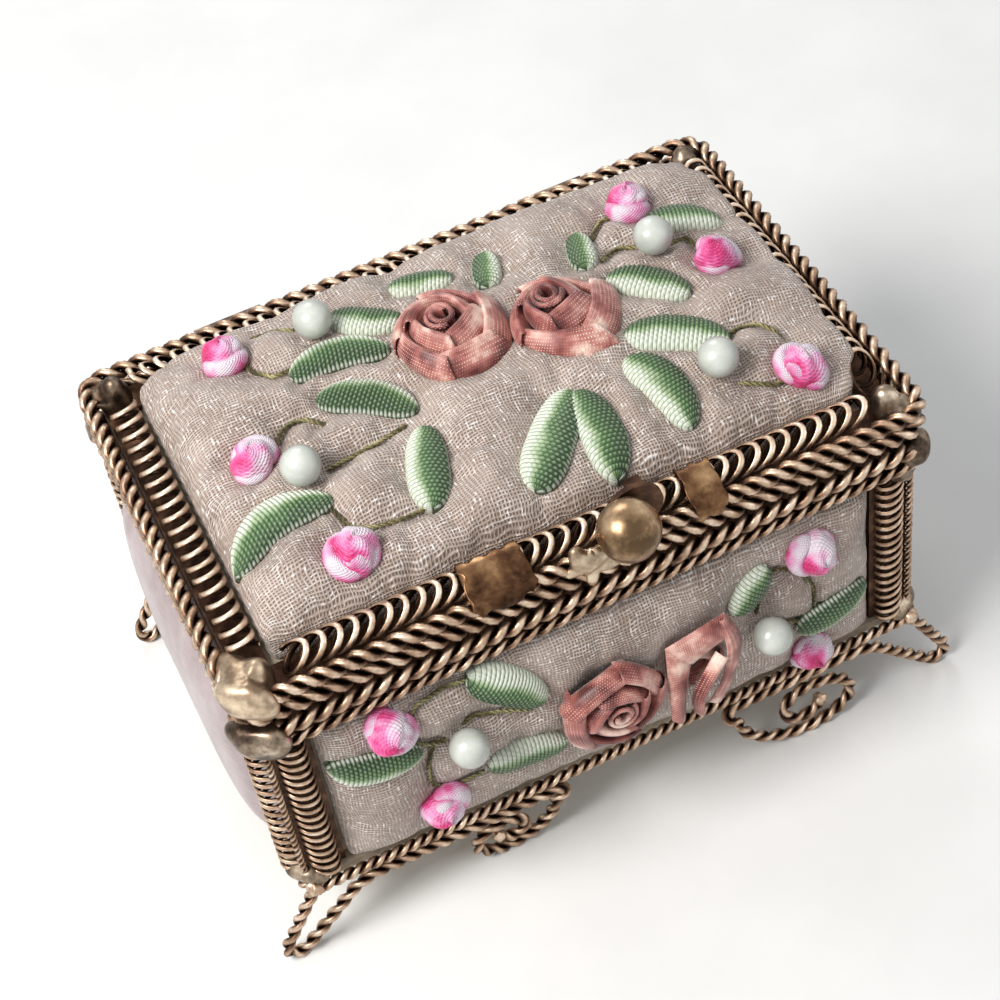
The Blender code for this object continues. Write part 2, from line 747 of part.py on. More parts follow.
def base_pads(gauze, satin, parent):
    """The padded covers on the outside of the walls. Returns the front one."""
    middle = panel_z + PANEL_HEIGHT / 2
    pads = (
        ("front_pad", 0, post_end_x - GAP, panel_y, FRONT_PAD_CROWN, gauze),
        ("right_pad", 1, post_end_y - GAP, panel_x, SIDE_PAD_CROWN, satin),
        ("back_pad", 2, post_end_x - GAP, panel_y, FRONT_PAD_CROWN, satin),
        ("left_pad", 3, post_end_y - GAP, panel_x, SIDE_PAD_CROWN, satin),
    )
    made = {}
    for name, side, half, reach, crown, finish in pads:
        mesh = pillow_mesh(name, half, PANEL_HEIGHT / 2, PAD_EDGE, crown, PAD_CORNER)
        turn = (math.pi / 2, 0, face_turn(side))
        made[name] = add(name, mesh, finish, parent, wall_place(side, reach, middle), turn)
    return made["front_pad"]


def base_metal(gilt, dark, parent):
    """Rim, ropes, cords, posts and feet."""
    rim_thick = mouth_x - band_x
    section = (
        (0, rim_z),
        (0, rim_top),
        (rim_thick, rim_top),
        (rim_thick, rim_top - RIM_FLANGE),
        (-SKIRT, rim_top - RIM_FLANGE),
        (-SKIRT, rim_z),
    )
    add("base_rim", ring_mesh("base_rim", band_x, band_y, section), dark, parent)
    rope_ring("rim_rope", rope_x, rope_y, CORNER_RADIUS, rim_rope_z, ROPE_RADIUS, gilt, parent)
    rope_ring("rim_cord", rope_x, rope_y, CORNER_RADIUS, rim_cord_z, CORD_RADIUS, gilt, parent)
    rope_ring("foot_cord", foot_x, foot_y, foot_corner, foot_cord_z, CORD_RADIUS, gilt, parent)
    wide = rope_x + LOOP_REACH + OVERRUN + FOOT_WIRE_RADIUS + LOOP_TIP_RADIUS
    deep = rope_y + OVERRUN
    ground_mesh = box_mesh("ground", (-wide, -deep, -OVERRUN), (wide, deep, 0))
    ground = helper("ground", ground_mesh, parent)
    for row, side in (("front", -1), ("back", 1)):
        for hand, end in (("left", -1), ("right", 1)):
            post(f"corner_post_{row}_{hand}", end, side, gilt, parent)
            foot(f"foot_{row}_{hand}", end, side, gilt, parent, ground)


def lid_frame(gilt, dark, card, parent):
    """The lid's board, border frame, ropes, coils, corner caps and solder patches."""
    board_x = band_x - SHEET - GAP
    board_y = band_y - SHEET - GAP
    board = slab_mesh("lid_board", board_x, board_y, MIN_CORNER, lid_z, board_top)
    add("lid_board", board, card, parent)
    inward = cushion_x + GAP - band_x
    section = (
        (0, lid_z),
        (0, border_z),
        (inward, border_z),
        (inward, border_z - SHEET),
        (-SHEET, border_z - SHEET),
        (-SHEET, lid_z),
    )
    add("lid_border", ring_mesh("lid_border", band_x, band_y, section), dark, parent)
    rope_ring("lid_rope_lower", rope_x, rope_y, CORNER_RADIUS, lower_rope_z, ROPE_RADIUS, gilt, parent)
    rope_ring("lid_rope_upper", rope_x, rope_y, CORNER_RADIUS, upper_rope_z, ROPE_RADIUS, gilt, parent)
    half_x = coil_x - COIL_RADIUS - GAP
    half_y = coil_y - COIL_RADIUS - GAP
    coils = (
        ("lid_coil_front", half_x, FRONT_COIL_CURLS, "x", (0, -coil_y, coil_z)),
        ("lid_coil_back", half_x, FRONT_COIL_CURLS, "x", (0, coil_y, coil_z)),
        ("lid_coil_left", half_y, SIDE_COIL_CURLS, "y", (-coil_x, 0, coil_z)),
        ("lid_coil_right", half_y, SIDE_COIL_CURLS, "y", (coil_x, 0, coil_z)),
    )
    for name, half, curls, along, centre in coils:
        points = helix(half, curls, along, centre)
        tube(name, points, COIL_WIRE_RADIUS, gilt, parent, 1)
        print(f"{name}: least gap to itself {least_gap(points, COIL_WIRE_RADIUS) / MM:.2f} mm")
    cap_profile = (
        (COIL_RADIUS - SINK, 0),
        (COIL_RADIUS, SINK),
        (COIL_RADIUS, COIL_RADIUS),
        (COIL_RADIUS * 0.8, COIL_RADIUS * 1.6),
        (COIL_RADIUS * 0.4, COIL_RADIUS * 1.95),
    )
    cap = lathe_mesh("corner_cap", cap_profile, PEARL_STEPS)
    for row, side in (("front", -1), ("back", 1)):
        for hand, end in (("left", -1), ("right", 1)):
            place = (end * coil_x, side * coil_y, border_z + GAP)
            add(f"corner_cap_{row}_{hand}", cap.copy(), gilt, parent, place)
    for hand, x in PATCH_PLACES.items():
        inner = COIL_RADIUS + GAP
        outer = inner + PATCH_THICKNESS
        over = arc((-coil_y, coil_z), (inner, inner), PATCH_START, PATCH_END, QUARTER_STEPS)
        back = arc((-coil_y, coil_z), (outer, outer), PATCH_END, PATCH_START, QUARTER_STEPS)
        half = PATCH_LENGTHS[hand] / 2
        loops = [[Vector((end, y, z)) for y, z in over + back] for end in (-half, half)]
        name = f"solder_patch_{hand}"
        add(name, loft(name, loops), gilt, parent, (x, 0, 0))


def lid_knob(gilt, parent):
    """The ball knob and the plate that stands behind it, strapped back over the coil."""
    ball_y = -rope_y - KNOB_FORWARD
    ball_z = upper_rope_z + KNOB_RISE
    plate_front = -(coil_y + COIL_RADIUS + GAP) - KNOB_PLATE
    plate_z = ball_z - KNOB_PLATE
    profile = ((KNOB_PLATE_RADIUS, 0), (KNOB_PLATE_RADIUS, KNOB_PLATE))
    plate = lathe_mesh("knob_plate", profile, ROUND_STEPS)
    plate_x = KNOB_OFFSET + KNOB_PLATE_OFFSET
    made = add("knob_plate", plate, gilt, parent, (plate_x, plate_front, plate_z), (-math.pi / 2, 0, 0))
    half = STRAP_WIDTH / 2
    strap_low = (-half, plate_front + SINK, coil_z + COIL_RADIUS + GAP)
    strap_high = (half, -cushion_y - GAP, strap_low[2] + SHEET)
    strap = box_mesh("knob_strap", strap_low, strap_high)
    combine(made, helper("knob_strap", strap, parent, (plate_x + STRAP_OFFSET, 0, 0)), "UNION")
    length = 2 * KNOB_PLATE_RADIUS + 2 * OVERRUN
    spot = (plate_x, -rope_y, upper_rope_z)
    combine(made, rod("rope_room", ROPE_RADIUS + GAP, length, parent, spot), "DIFFERENCE")
    ball = ball_mesh("lift_knob", (KNOB_RADIUS, KNOB_RADIUS, KNOB_RADIUS), BALL_STEPS)
    knob = add("lift_knob", ball, gilt, parent, (KNOB_OFFSET, ball_y, ball_z))
    far = KNOB_RADIUS + OVERRUN
    seat = plate_front - GAP - ball_y
    cut = box_mesh("knob_seat", (-far, seat, -far), (far, far, far))
    combine(knob, helper("knob_seat", cut, parent, (KNOB_OFFSET, ball_y, ball_z)), "DIFFERENCE")


def lid_soft(gauze, satin, pearl, ribbon, parent):
    """The cushion with its stitched leaves and buds, the lining, the roses and the pearls."""
    mesh = pillow_mesh("lid_cushion", cushion_x, cushion_y, CUSHION_SIDE, CUSHION_CROWN, PAD_CORNER)
    cushion = add("lid_cushion", mesh, gauze, parent, (0, 0, cushion_z))
    size = (cushion_x, cushion_y, CUSHION_SIDE, CUSHION_CROWN)
    stitch(cushion, *size, parent, LID_LEAF_SHARES, LID_BUD_SHARES)
    half_x = mouth_x - LID_LINING_MARGIN
    half_y = mouth_y - LID_LINING_MARGIN
    top = lid_z - GAP
    low = top - LID_LINING_THICKNESS
    add("lid_lining", slab_mesh("lid_lining", half_x, half_y, PAD_CORNER, low, top), satin, parent)
    ball = ball_mesh("pearl", (PEARL_RADIUS, PEARL_RADIUS, PEARL_RADIUS), PEARL_STEPS)
    for number, shares in enumerate(LID_PEARL_SHARES, 1):
        place = on_pad(cushion, *size, shares, GAP + PEARL_RADIUS)
        add(f"lid_pearl_{number}", ball.copy(), pearl, parent, place)
    for hand, shares in LID_ROSE_SHARES.items():
        place = on_pad(cushion, *size, shares, GAP)
        turn = (0, 0, math.radians(shares[2]))
        rose(f"lid_rose_{hand}", parent, place, turn, ROSE_RADIUS * shares[3], ribbon)


def front_trim(front, pearl, ribbon, parent):
    """Leaves and buds stitched through the front pad, with its roses and pearls."""
    size = (post_end_x - GAP, PANEL_HEIGHT / 2, PAD_EDGE, FRONT_PAD_CROWN)
    stitch(front, *size, parent, FRONT_LEAF_SHARES, FRONT_BUD_SHARES)
    ball = ball_mesh("pearl", (PEARL_RADIUS, PEARL_RADIUS, PEARL_RADIUS), PEARL_STEPS)
    for hand, shares in FRONT_PEARL_SHARES.items():
        place = on_pad(front, *size, shares, GAP + PEARL_RADIUS)
        add(f"front_pearl_{hand}", ball.copy(), pearl, parent, place)
    for hand, shares in FRONT_ROSE_SHARES.items():
        place = on_pad(front, *size, shares, GAP)
        turn = Matrix.Rotation(math.pi / 2, 3, "X") @ Matrix.Rotation(math.radians(shares[2]), 3, "Z")
        rose(f"front_rose_{hand}", parent, place, turn.to_euler(), ROSE_RADIUS * shares[3], ribbon)


def hinges(gilt, base, lid):
    """Two small hinges at the back: the outer knuckles and pins on the rim, one between on the lid."""
    outer = HINGE_WIDTH / 2
    inner = MIDDLE_KNUCKLE / 2
    for hand, side in (("left", -1), ("right", 1)):
        x = side * HINGE_SPACING / 2
        rim_knuckles = ((-outer, -inner - GAP), (inner + GAP, outer))
        hinge_leaf(f"hinge_rim_leaf_{hand}", x, -1, gilt, base, rim_knuckles)
        hinge_leaf(f"hinge_lid_leaf_{hand}", x, 1, gilt, lid, ((-inner, inner),))
        hinge_pin(f"hinge_pin_{hand}", x, gilt, base)


def main():
    clear_scene()
    gilt = material("gilt wire", (0.50, 0.33, 0.17), 1.0, 0.35)
    dark = material("dark gilt sheet", (0.16, 0.09, 0.05), 1.0, 0.5)
    card = material("card", (0.55, 0.50, 0.42), 0.0, 0.9)
    gauze = material("champagne gauze", (0.52, 0.42, 0.35), 0.2, 0.5)
    satin = material("pale satin", (0.68, 0.57, 0.50), 0.0, 0.45)
    pearl = material("pearl", (0.85, 0.82, 0.72), 0.0, 0.2)
    ribbon = material("rose ribbon", (0.55, 0.22, 0.16), 0.0, 0.5)
    base = empty("casket_base", (0, shift_y, 0))
    pivot = empty("lid_pivot", (0, hinge_y, hinge_z), base)
    lid = empty("casket_lid", (0, -hinge_y, -hinge_z), pivot)
    base_walls(card, satin, base)
    front = base_pads(gauze, satin, base)
    base_metal(gilt, dark, base)
    lid_frame(gilt, dark, card, lid)
    lid_knob(gilt, lid)
    lid_soft(gauze, satin, pearl, ribbon, lid)
    front_trim(front, pearl, ribbon, base)
    hinges(gilt, base, lid)


main()
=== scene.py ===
"""The looks of the trinket casket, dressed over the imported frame."""
import math

import bmesh
import bpy
import numpy as np
from mathutils import Matrix, Vector


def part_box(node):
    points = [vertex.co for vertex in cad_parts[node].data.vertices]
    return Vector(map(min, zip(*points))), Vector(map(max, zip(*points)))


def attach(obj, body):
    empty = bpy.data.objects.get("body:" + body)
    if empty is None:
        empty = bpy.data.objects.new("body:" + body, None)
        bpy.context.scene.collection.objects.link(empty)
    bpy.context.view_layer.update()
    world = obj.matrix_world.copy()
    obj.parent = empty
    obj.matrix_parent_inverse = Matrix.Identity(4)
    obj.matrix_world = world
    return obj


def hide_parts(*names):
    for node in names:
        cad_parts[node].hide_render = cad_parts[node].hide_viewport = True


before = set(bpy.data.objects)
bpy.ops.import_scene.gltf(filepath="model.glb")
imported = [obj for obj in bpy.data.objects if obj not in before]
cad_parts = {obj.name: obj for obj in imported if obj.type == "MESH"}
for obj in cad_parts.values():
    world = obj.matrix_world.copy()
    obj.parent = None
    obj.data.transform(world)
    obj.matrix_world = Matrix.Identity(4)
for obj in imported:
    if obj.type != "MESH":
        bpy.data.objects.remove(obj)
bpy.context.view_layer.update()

MM = 0.001
TAU = math.tau
rng = np.random.default_rng(11)


# ---------------------------------------------------------------- sizes read from the frame
def middle(node):
    low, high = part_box(node)
    return (np.array(low) + np.array(high)) / 2


def half(node):
    low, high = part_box(node)
    return (np.array(high) - np.array(low)) / 2


def mm(*sizes):
    return np.array(sizes) * MM


ROPE_R = half("rim_rope")[2]
MID_Y = middle("rim_rope")[1]
rope_x, rope_y = half("rim_rope")[:2] - ROPE_R
foot_cord_x, foot_cord_y = half("foot_cord")[:2] - half("foot_cord")[2]
CORNER_R = 2.6 * MM
FOOT_R = 0.75 * MM
COIL_R = half("lid_coil_front")[2]
COIL_WIRE_R = 0.28 * MM
coil_y = MID_Y - middle("lid_coil_front")[1]
coil_x = middle("lid_coil_right")[0]
coil_z = middle("lid_coil_front")[2]
coil_half_x = half("lid_coil_front")[0]
coil_half_y = half("lid_coil_left")[1]
GAP = 0.3 * MM
LONG_CURLS, SHORT_CURLS = 36, 20

# the soft pieces: where they lie, their crowns and rolled edges
cushion_x = coil_x - COIL_R - GAP
cushion_y = coil_y - COIL_R - GAP
cushion_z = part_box("lid_cushion")[0][2]
CUSHION_SIDE = 3.4 * MM
CUSHION_CROWN = 4.2 * MM
CROWN_POWER = 2.8
PAD_CORNER = 1.5 * MM
PAD_EDGE = 0.9 * MM
ROLL = 2.3 * MM
ROLL_RIGHT = 4.0 * MM
panel_half_z = half("back_pad")[2]
panel_mid_z = middle("back_pad")[2]


# ---------------------------------------------------------------- camera, floor and light
def linked(name, data):
    """A new object in the scene."""
    made = bpy.data.objects.new(name, data)
    bpy.context.scene.collection.objects.link(made)
    return made


def camera():
    """The photograph's viewpoint, found from the box's own corners."""
    data = bpy.data.cameras.new("photo_view")
    data.sensor_width = 36.0
    data.lens = 82.8
    data.clip_start = 0.01
    made = linked("photo_view", data)
    right = Vector((0.90038, -0.41902, -0.11723))
    up = Vector((0.38717, 0.64859, 0.65531))
    back = Vector((-0.19855, -0.63542, 0.74621))
    turn = Matrix((right, up, back)).transposed()
    made.matrix_world = Matrix.Translation((-0.05132, MID_Y - 0.16183, 0.2176)) @ turn.to_4x4()
    bpy.context.scene.camera = made


def area_light(name, place, aim, size, watts, color=(1, 1, 1)):
    data = bpy.data.lights.new(name, "AREA")
    data.shape = "DISK"
    data.size = size
    data.energy = watts
    data.color = color
    made = linked(name, data)
    made.location = place
    made.rotation_euler = (Vector(aim) - Vector(place)).to_track_quat("-Z", "Y").to_euler()


# ---------------------------------------------------------------- node materials
class Finish:
    """A Principled material and the few nodes that these finishes share."""

    def __init__(self, name, **sockets):
        self.made = bpy.data.materials.new(name)
        self.made.use_nodes = True
        self.tree = self.made.node_tree
        self.shader = self.tree.nodes["Principled BSDF"]
        for key, value in sockets.items():
            self.put(self.shader.inputs[key.replace("_", " ")], value)

    def put(self, socket, value):
        if isinstance(value, bpy.types.NodeSocket):
            self.tree.links.new(value, socket)
        elif isinstance(value, tuple) and len(value) == 3 and socket.type == "RGBA":
            socket.default_value = (*srgb(*value), 1.0)
        else:
            socket.default_value = value

    def node(self, kind, inputs=(), out=0, **settings):
        made = self.tree.nodes.new("ShaderNode" + kind)
        for key, value in settings.items():
            setattr(made, key, value)
        for key, value in dict(inputs).items():
            self.put(made.inputs[key], value)
        return made.outputs[out]

    def math(self, operation, a, b=0.0, c=0.0):
        return self.node("Math", {0: a, 1: b, 2: c}, operation=operation)

    def mul(self, a, b):
        return self.math("MULTIPLY", a, b)

    def mad(self, a, b, c):
        return self.math("MULTIPLY_ADD", a, b, c)

    def sine(self, a):
        return self.math("SINE", a)

    def noise(self, scale, detail=3.0, place=None, rough=0.55):
        place = self.node("TexCoord", out=3) if place is None else place
        inputs = {"Vector": place, "Scale": scale, "Detail": detail, "Roughness": rough}
        return self.node("TexNoise", inputs)

    def uv(self):
        parts = self.tree.nodes.new("ShaderNodeSeparateXYZ")
        self.tree.links.new(self.node("TexCoord", out=2), parts.inputs[0])
        return parts.outputs[0], parts.outputs[1]

    def vector(self, x, y, z=0.0):
        return self.node("CombineXYZ", {0: x, 1: y, 2: z})

    def ramp(self, value, *stops):
        """A ramp over places with grey shares, or with colours as they are seen, 0 to 255."""
        made = self.tree.nodes.new("ShaderNodeValToRGB")
        self.tree.links.new(value, made.inputs[0])
        band = made.color_ramp
        while len(band.elements) < len(stops):
            band.elements.new(1.0)
        for element, (place, color) in zip(band.elements, stops):
            element.position = place
            shown = srgb(*color) if isinstance(color, tuple) else (color, color, color)
            element.color = (*shown, 1.0)
        return made.outputs[0]

    def mix(self, share, first, second, blend="MIX"):
        made = self.tree.nodes.new("ShaderNodeMix")
        made.data_type = "RGBA"
        made.blend_type = blend
        self.put(made.inputs[0], share)
        self.put(made.inputs[6], first)
        self.put(made.inputs[7], second)
        return made.outputs[2]

    def bump(self, height, depth, strength):
        return self.node("Bump", {"Height": height, "Distance": depth, "Strength": strength})

    def done(self, color, rough=None, normal=None):
        for key, value in (("Base Color", color), ("Roughness", rough), ("Normal", normal)):
            if value is not None:
                self.put(self.shader.inputs[key], value)
        return self.made


def srgb(*parts):
    """A colour as it is seen, 0 to 255, as the linear numbers that nodes take."""
    return tuple(c / 255 / 12.92 if c <= 10 else ((c / 255 + 0.055) / 1.055) ** 2.4 for c in parts)


def gilt_wire(name="gilt_wire", lift=0.0):
    """Old gilt wire: pale where it is rubbed, with painted shade on the inward side of each wire in the
    hollows between the strands, and a painted highlight on its outward crest.
    """
    it = Finish(name, Metallic=1.0)
    _, v = it.uv()
    # painted light: the side of each wire facing the rope's or coil's axis is darkened as painted shade,
    # its outward crest lightened as a painted highlight
    outward = it.math("COSINE", it.mul(v, TAU))
    worn = it.noise(420.0, 5.0)
    fine = it.noise(2600.0, 3.0)
    shade = it.mad(worn, 0.62, it.mad(fine, 0.18, lift))
    shade = it.mad(outward, 0.32, shade)
    color = it.ramp(
        shade,
        (0.06, (24, 17, 13)),
        (0.32, (56, 40, 31)),
        (0.50, (110, 84, 67)),
        (0.66, (176, 148, 124)),
        (0.86, (238, 218, 196)),
    )
    rough = it.ramp(worn, (0.3, 0.46), (0.7, 0.32))
    normal = it.bump(it.mad(fine, 0.3, worn), 0.00016, 0.5)
    return it.done(color, rough, normal)


def gilt_cast(name, stops, rough=(0.46, 0.30), fine_share=0.16, depth=0.25):
    """Solder and small cast pieces: mottled gold, matt in the hollows."""
    it = Finish(name, Metallic=1.0)
    cloud = it.noise(260.0, 5.0, rough=0.58)
    fine = it.noise(1700.0, 4.0)
    blend = it.mad(fine, fine_share, it.mul(cloud, 0.8))
    color = it.ramp(blend, *zip((0.36, 0.46, 0.56, 0.70), stops))
    normal = it.bump(blend, 0.0002, depth)
    return it.done(color, it.ramp(cloud, (0.35, rough[0]), (0.65, rough[1])), normal)


def mottled(name, scale, detail, stops, rough, depth, strength, **sockets):
    """A plain surface with one cloud in its colour, its roughness if that varies, and its relief."""
    it = Finish(name, **sockets)
    cloud = it.noise(scale, detail)
    rough = it.ramp(cloud, *rough) if rough else None
    return it.done(it.ramp(cloud, *stops), rough, it.bump(cloud, depth, strength))


def dark_sheet():
    stops = (0.3, (44, 28, 20)), (0.55, (76, 52, 37)), (0.75, (112, 82, 58))
    rough = (0.3, 0.62), (0.7, 0.45)
    return mottled("dark_sheet", 500.0, 5.0, stops, rough, 0.0003, 0.4, Metallic=0.85)


def card():
    stops = (0.35, (176, 160, 136)), (0.7, (208, 196, 176))
    return mottled("card", 900.0, 6.0, stops, None, 0.0002, 0.4, Roughness=0.9)


def floor_paint():
    stops = (0.3, (226, 226, 224)), (0.7, (234, 234, 232))
    return mottled("floor_paint", 40.0, 4.0, stops, None, 0.0003, 0.1, Roughness=0.8)


def gauze():
    """Taupe gauze: close threads both ways, plain in places, with short painted glints along the threads.
    """
    it = Finish("gauze", Sheen_Weight=0.15, Sheen_Roughness=0.4)
    u, v = it.uv()
    sway = it.noise(170.0, 2.0)
    heights = []
    painted_glints = []
    for along, across, pitch, gain, seed in ((v, u, 0.36, 1.0, 0.0), (u, v, 0.32, 1.1, 31.0)):
        across = it.mad(sway, 1.8, across)
        count = it.math("DIVIDE", across, pitch)
        thread = it.math("ABSOLUTE", it.math("COSINE", it.mul(count, math.pi)))
        thread = it.math("SUBTRACT", 1.0, it.math("POWER", thread, 2.4))
        own = it.mul(it.math("FLOOR", count), 3.71)
        streak = it.noise(1.0, 2.0, it.vector(own, it.mul(along, 0.9), seed))
        # painted highlight: short near-white glints along the threads
        glint = it.noise(1.0, 1.0, it.vector(own, it.mul(along, 1.2), seed + 90.0))
        heights.append(it.mul(thread, it.mul(streak, gain)))
        painted_glints.append(it.mul(thread, it.ramp(glint, (0.60, 0.0), (0.70, 1.0))))
    height = it.math("MAXIMUM", *heights)
    painted_glint = it.math("MAXIMUM", *painted_glints)
    patch = it.ramp(it.noise(210.0, 3.0), (0.35, 0.30), (0.62, 1.0))
    plain = it.mad(it.math("SUBTRACT", height, 0.5), patch, 0.5)
    cloud = it.noise(120.0, 4.0)
    shade = it.mad(cloud, 0.42, plain)
    color = it.ramp(
        shade,
        (0.38, (114, 98, 88)),
        (0.56, (146, 129, 117)),
        (0.70, (172, 155, 144)),
        (0.84, (200, 187, 178)),
        (0.98, (236, 229, 222)),
    )
    color = it.mix(it.mul(painted_glint, 0.75), color, (246, 240, 236))
    rough = it.ramp(height, (0.40, 0.60), (0.66, 0.28))
    return it.done(color, rough, it.bump(it.mad(painted_glint, 0.4, height), 0.00022, 0.9))


def satin():
    """Pale pinkish satin: smooth, with a faint rib and slow shimmer."""
    it = Finish("satin", Sheen_Weight=0.2, Sheen_Roughness=0.35)
    u, v = it.uv()
    cloud = it.noise(120.0, 4.0)
    rib = it.sine(it.mul(v, TAU / 0.3))
    thread = it.noise(1.0, 2.0, it.vector(it.mul(u, 0.4), it.mul(v, 6.0)))
    color = it.ramp(
        it.mad(thread, 0.35, it.mul(cloud, 0.65)),
        (0.30, (126, 110, 110)),
        (0.50, (149, 134, 134)),
        (0.72, (174, 162, 164)),
    )
    rough = it.ramp(thread, (0.3, 0.42), (0.7, 0.3))
    height = it.mad(rib, 0.25, thread)
    return it.done(color, rough, it.bump(height, 0.00006, 0.6))


def pearl():
    it = Finish("pearl", Coat_Weight=0.4, Coat_Roughness=0.15, Subsurface_Weight=0.1)
    it.shader.inputs["Subsurface Radius"].default_value = (0.6, 0.5, 0.4)
    it.shader.inputs["Subsurface Scale"].default_value = 0.0006
    cloud = it.noise(340.0, 4.0)
    # painted shade: the pearl's colour darkens towards its outline as its surface turns away from the view
    edge = it.node("LayerWeight", {"Blend": 0.45}, out=1)
    color = it.ramp(cloud, (0.3, (186, 190, 182)), (0.55, (206, 210, 202)), (0.75, (222, 222, 216)))
    color = it.mix(it.mul(edge, 0.7), color, (122, 126, 116))
    rough = it.ramp(cloud, (0.3, 0.34), (0.7, 0.2))
    return it.done(color, rough, it.bump(cloud, 0.0002, 0.5))


def rose_ribbon():
    """Satin ribbon: rows of tiny bright dashes over a darker ground, with painted shade and painted
    highlights laid in patches by a noise cloud.
    """
    it = Finish("rose_ribbon", Sheen_Weight=0.3, Sheen_Roughness=0.3)
    u, v = it.uv()
    row = it.sine(it.mul(v, TAU / 0.26))
    lean = it.mad(v, 0.6, u)
    dash = it.sine(it.mul(lean, TAU / 0.27))
    grain = it.mul(it.math("MAXIMUM", row, 0.0), it.math("MAXIMUM", dash, 0.0))
    patch = it.ramp(it.noise(330.0, 2.0), (0.40, 0.25), (0.60, 1.0))
    cloud = it.noise(260.0, 3.0)
    bright = it.mul(grain, patch)
    # painted light: the ramp's darkest stop is painted shade and its brightest a painted highlight, spread
    # in patches by the cloud over the ribbon's salmon
    color = it.ramp(
        it.mad(bright, 0.34, cloud),
        (0.34, (80, 34, 32)),
        (0.45, (140, 76, 70)),
        (0.55, (184, 120, 110)),
        (0.68, (244, 212, 196)),
    )
    rough = it.ramp(grain, (0.1, 0.40), (0.8, 0.22))
    height = it.mad(cloud, 0.4, grain)
    return it.done(color, rough, it.bump(height, 0.00008, 0.8))


def bud_ribbon():
    """Bud ribbon: hot pink in its creases and in patches, white over the swells, finely woven."""
    it = Finish("bud_ribbon", Sheen_Weight=0.15, Sheen_Roughness=0.4)
    u, v = it.uv()
    warp = it.sine(it.mul(u, TAU / 0.34))
    weft = it.sine(it.mul(v, TAU * 7))
    weave = it.mul(warp, weft)
    cloud = it.noise(330.0, 2.0)
    shade = it.mad(v, 0.30, cloud)
    shade = it.mad(weave, 0.02, shade)
    color = it.ramp(
        shade,
        (0.42, (196, 36, 104)),
        (0.53, (220, 88, 150)),
        (0.64, (228, 156, 196)),
        (0.78, (226, 212, 222)),
    )
    return it.done(color, 0.45, it.bump(weave, 0.00006, 0.9))


def leaf_ribbon():
    """Needle-woven leaf: cross ribs of small stitches, mint white on one side, green on the other, with
    painted highlights on the rib crests and painted shade in the grooves between them.
    """
    it = Finish("leaf_ribbon", Sheen_Weight=0.15, Sheen_Roughness=0.4)
    u, v = it.uv()
    side = it.mad(v, 2.0, -1.0)
    wave = it.mul(it.mad(it.mul(side, side), 0.29, u), math.pi)
    rib = it.math("ABSOLUTE", it.sine(wave))
    odd = it.mul(it.math("FLOOR", it.math("DIVIDE", wave, math.pi)), math.pi)
    stitch = it.sine(it.mad(side, 26.0, odd))
    cloud = it.noise(330.0, 3.0)
    own = it.node("ObjectInfo", out=5)
    shift = it.mad(it.math("SUBTRACT", cloud, 0.5), 0.5, it.mul(own, 0.16))
    color = it.ramp(
        it.math("ADD", v, it.math("SUBTRACT", shift, 0.08)),
        (0.22, (212, 218, 204)),
        (0.36, (150, 171, 132)),
        (0.47, (68, 104, 56)),
        (0.78, (30, 62, 29)),
    )
    # painted highlight: the stitches on each rib's crest lightened towards pale green
    bright = it.mul(it.mad(stitch, 0.5, 0.5), rib)
    picot = it.mul(it.ramp(v, (0.955, 0.0), (0.985, 0.8)), rib)
    color = it.mix(it.mul(it.math("POWER", bright, 1.6), 0.5), color, (166, 188, 142))
    color = it.mix(picot, color, (206, 212, 198))
    # painted shade: the grooves between the ribs darkened by a multiplied grey green
    painted_groove_shade = it.ramp(rib, (0.10, 0.8), (0.5, 0.0))
    color = it.mix(painted_groove_shade, color, it.mix(1.0, color, (90, 104, 76), blend="MULTIPLY"))
    return it.done(color, 0.5, it.bump(bright, 0.0001, 0.8))


def stem_thread():
    it = Finish("stem_thread", Roughness=0.6)
    u, v = it.uv()
    ply = it.sine(it.math("ADD", it.mul(u, TAU / 0.9), it.mul(v, TAU * 2)))
    cloud = it.noise(500.0, 3.0)
    color = it.ramp(
        it.mad(ply, 0.22, cloud),
        (0.25, (78, 72, 42)),
        (0.55, (130, 122, 78)),
        (0.85, (178, 170, 122)),
    )
    return it.done(color, None, it.bump(ply, 0.0001, 0.8))


# ---------------------------------------------------------------- meshes
def grid(points, u, v, wrap_u=False, wrap_v=False, caps=False):
    """Quads over a grid of points, with a UV in millimetres or turns for each corner."""
    points = np.asarray(points, dtype=float)
    rows, columns = points.shape[:2]
    i = np.arange(rows if wrap_u else rows - 1)
    j = np.arange(columns if wrap_v else columns - 1)
    a, b = np.meshgrid(i, j, indexing="ij")
    a, b = a.ravel(), b.ravel()
    corners = ((a, b), (a + 1, b), (a + 1, b + 1), (a, b + 1))
    faces = np.stack([(p % rows) * columns + q % columns for p, q in corners], axis=1)
    u = np.broadcast_to(np.asarray(u, dtype=float), (rows + wrap_u,)) if np.ndim(u) < 2 else u
    uvs = np.stack([np.stack([u[p], v[q]], axis=1) for p, q in corners], axis=1)
    face_list = faces.tolist()
    uv_list = uvs.reshape(-1, 2)
    if caps:
        first = list(range(columns))
        last = [(rows - 1) * columns + k for k in first]
        for ring, row in ((first[::-1], 0), (last, rows - 1)):
            face_list.append(ring)
            uv_list = np.vstack([uv_list, [[u[row], v[k]] for k in range(columns)]])
    return points.reshape(-1, 3), face_list, uv_list


def shell(top, low, u, v):
    """A closed shell between two grids of points, with v running over the top and back below."""
    return grid(np.concatenate([top, low[:, ::-1]], axis=1), u, v, wrap_v=True, caps=True)


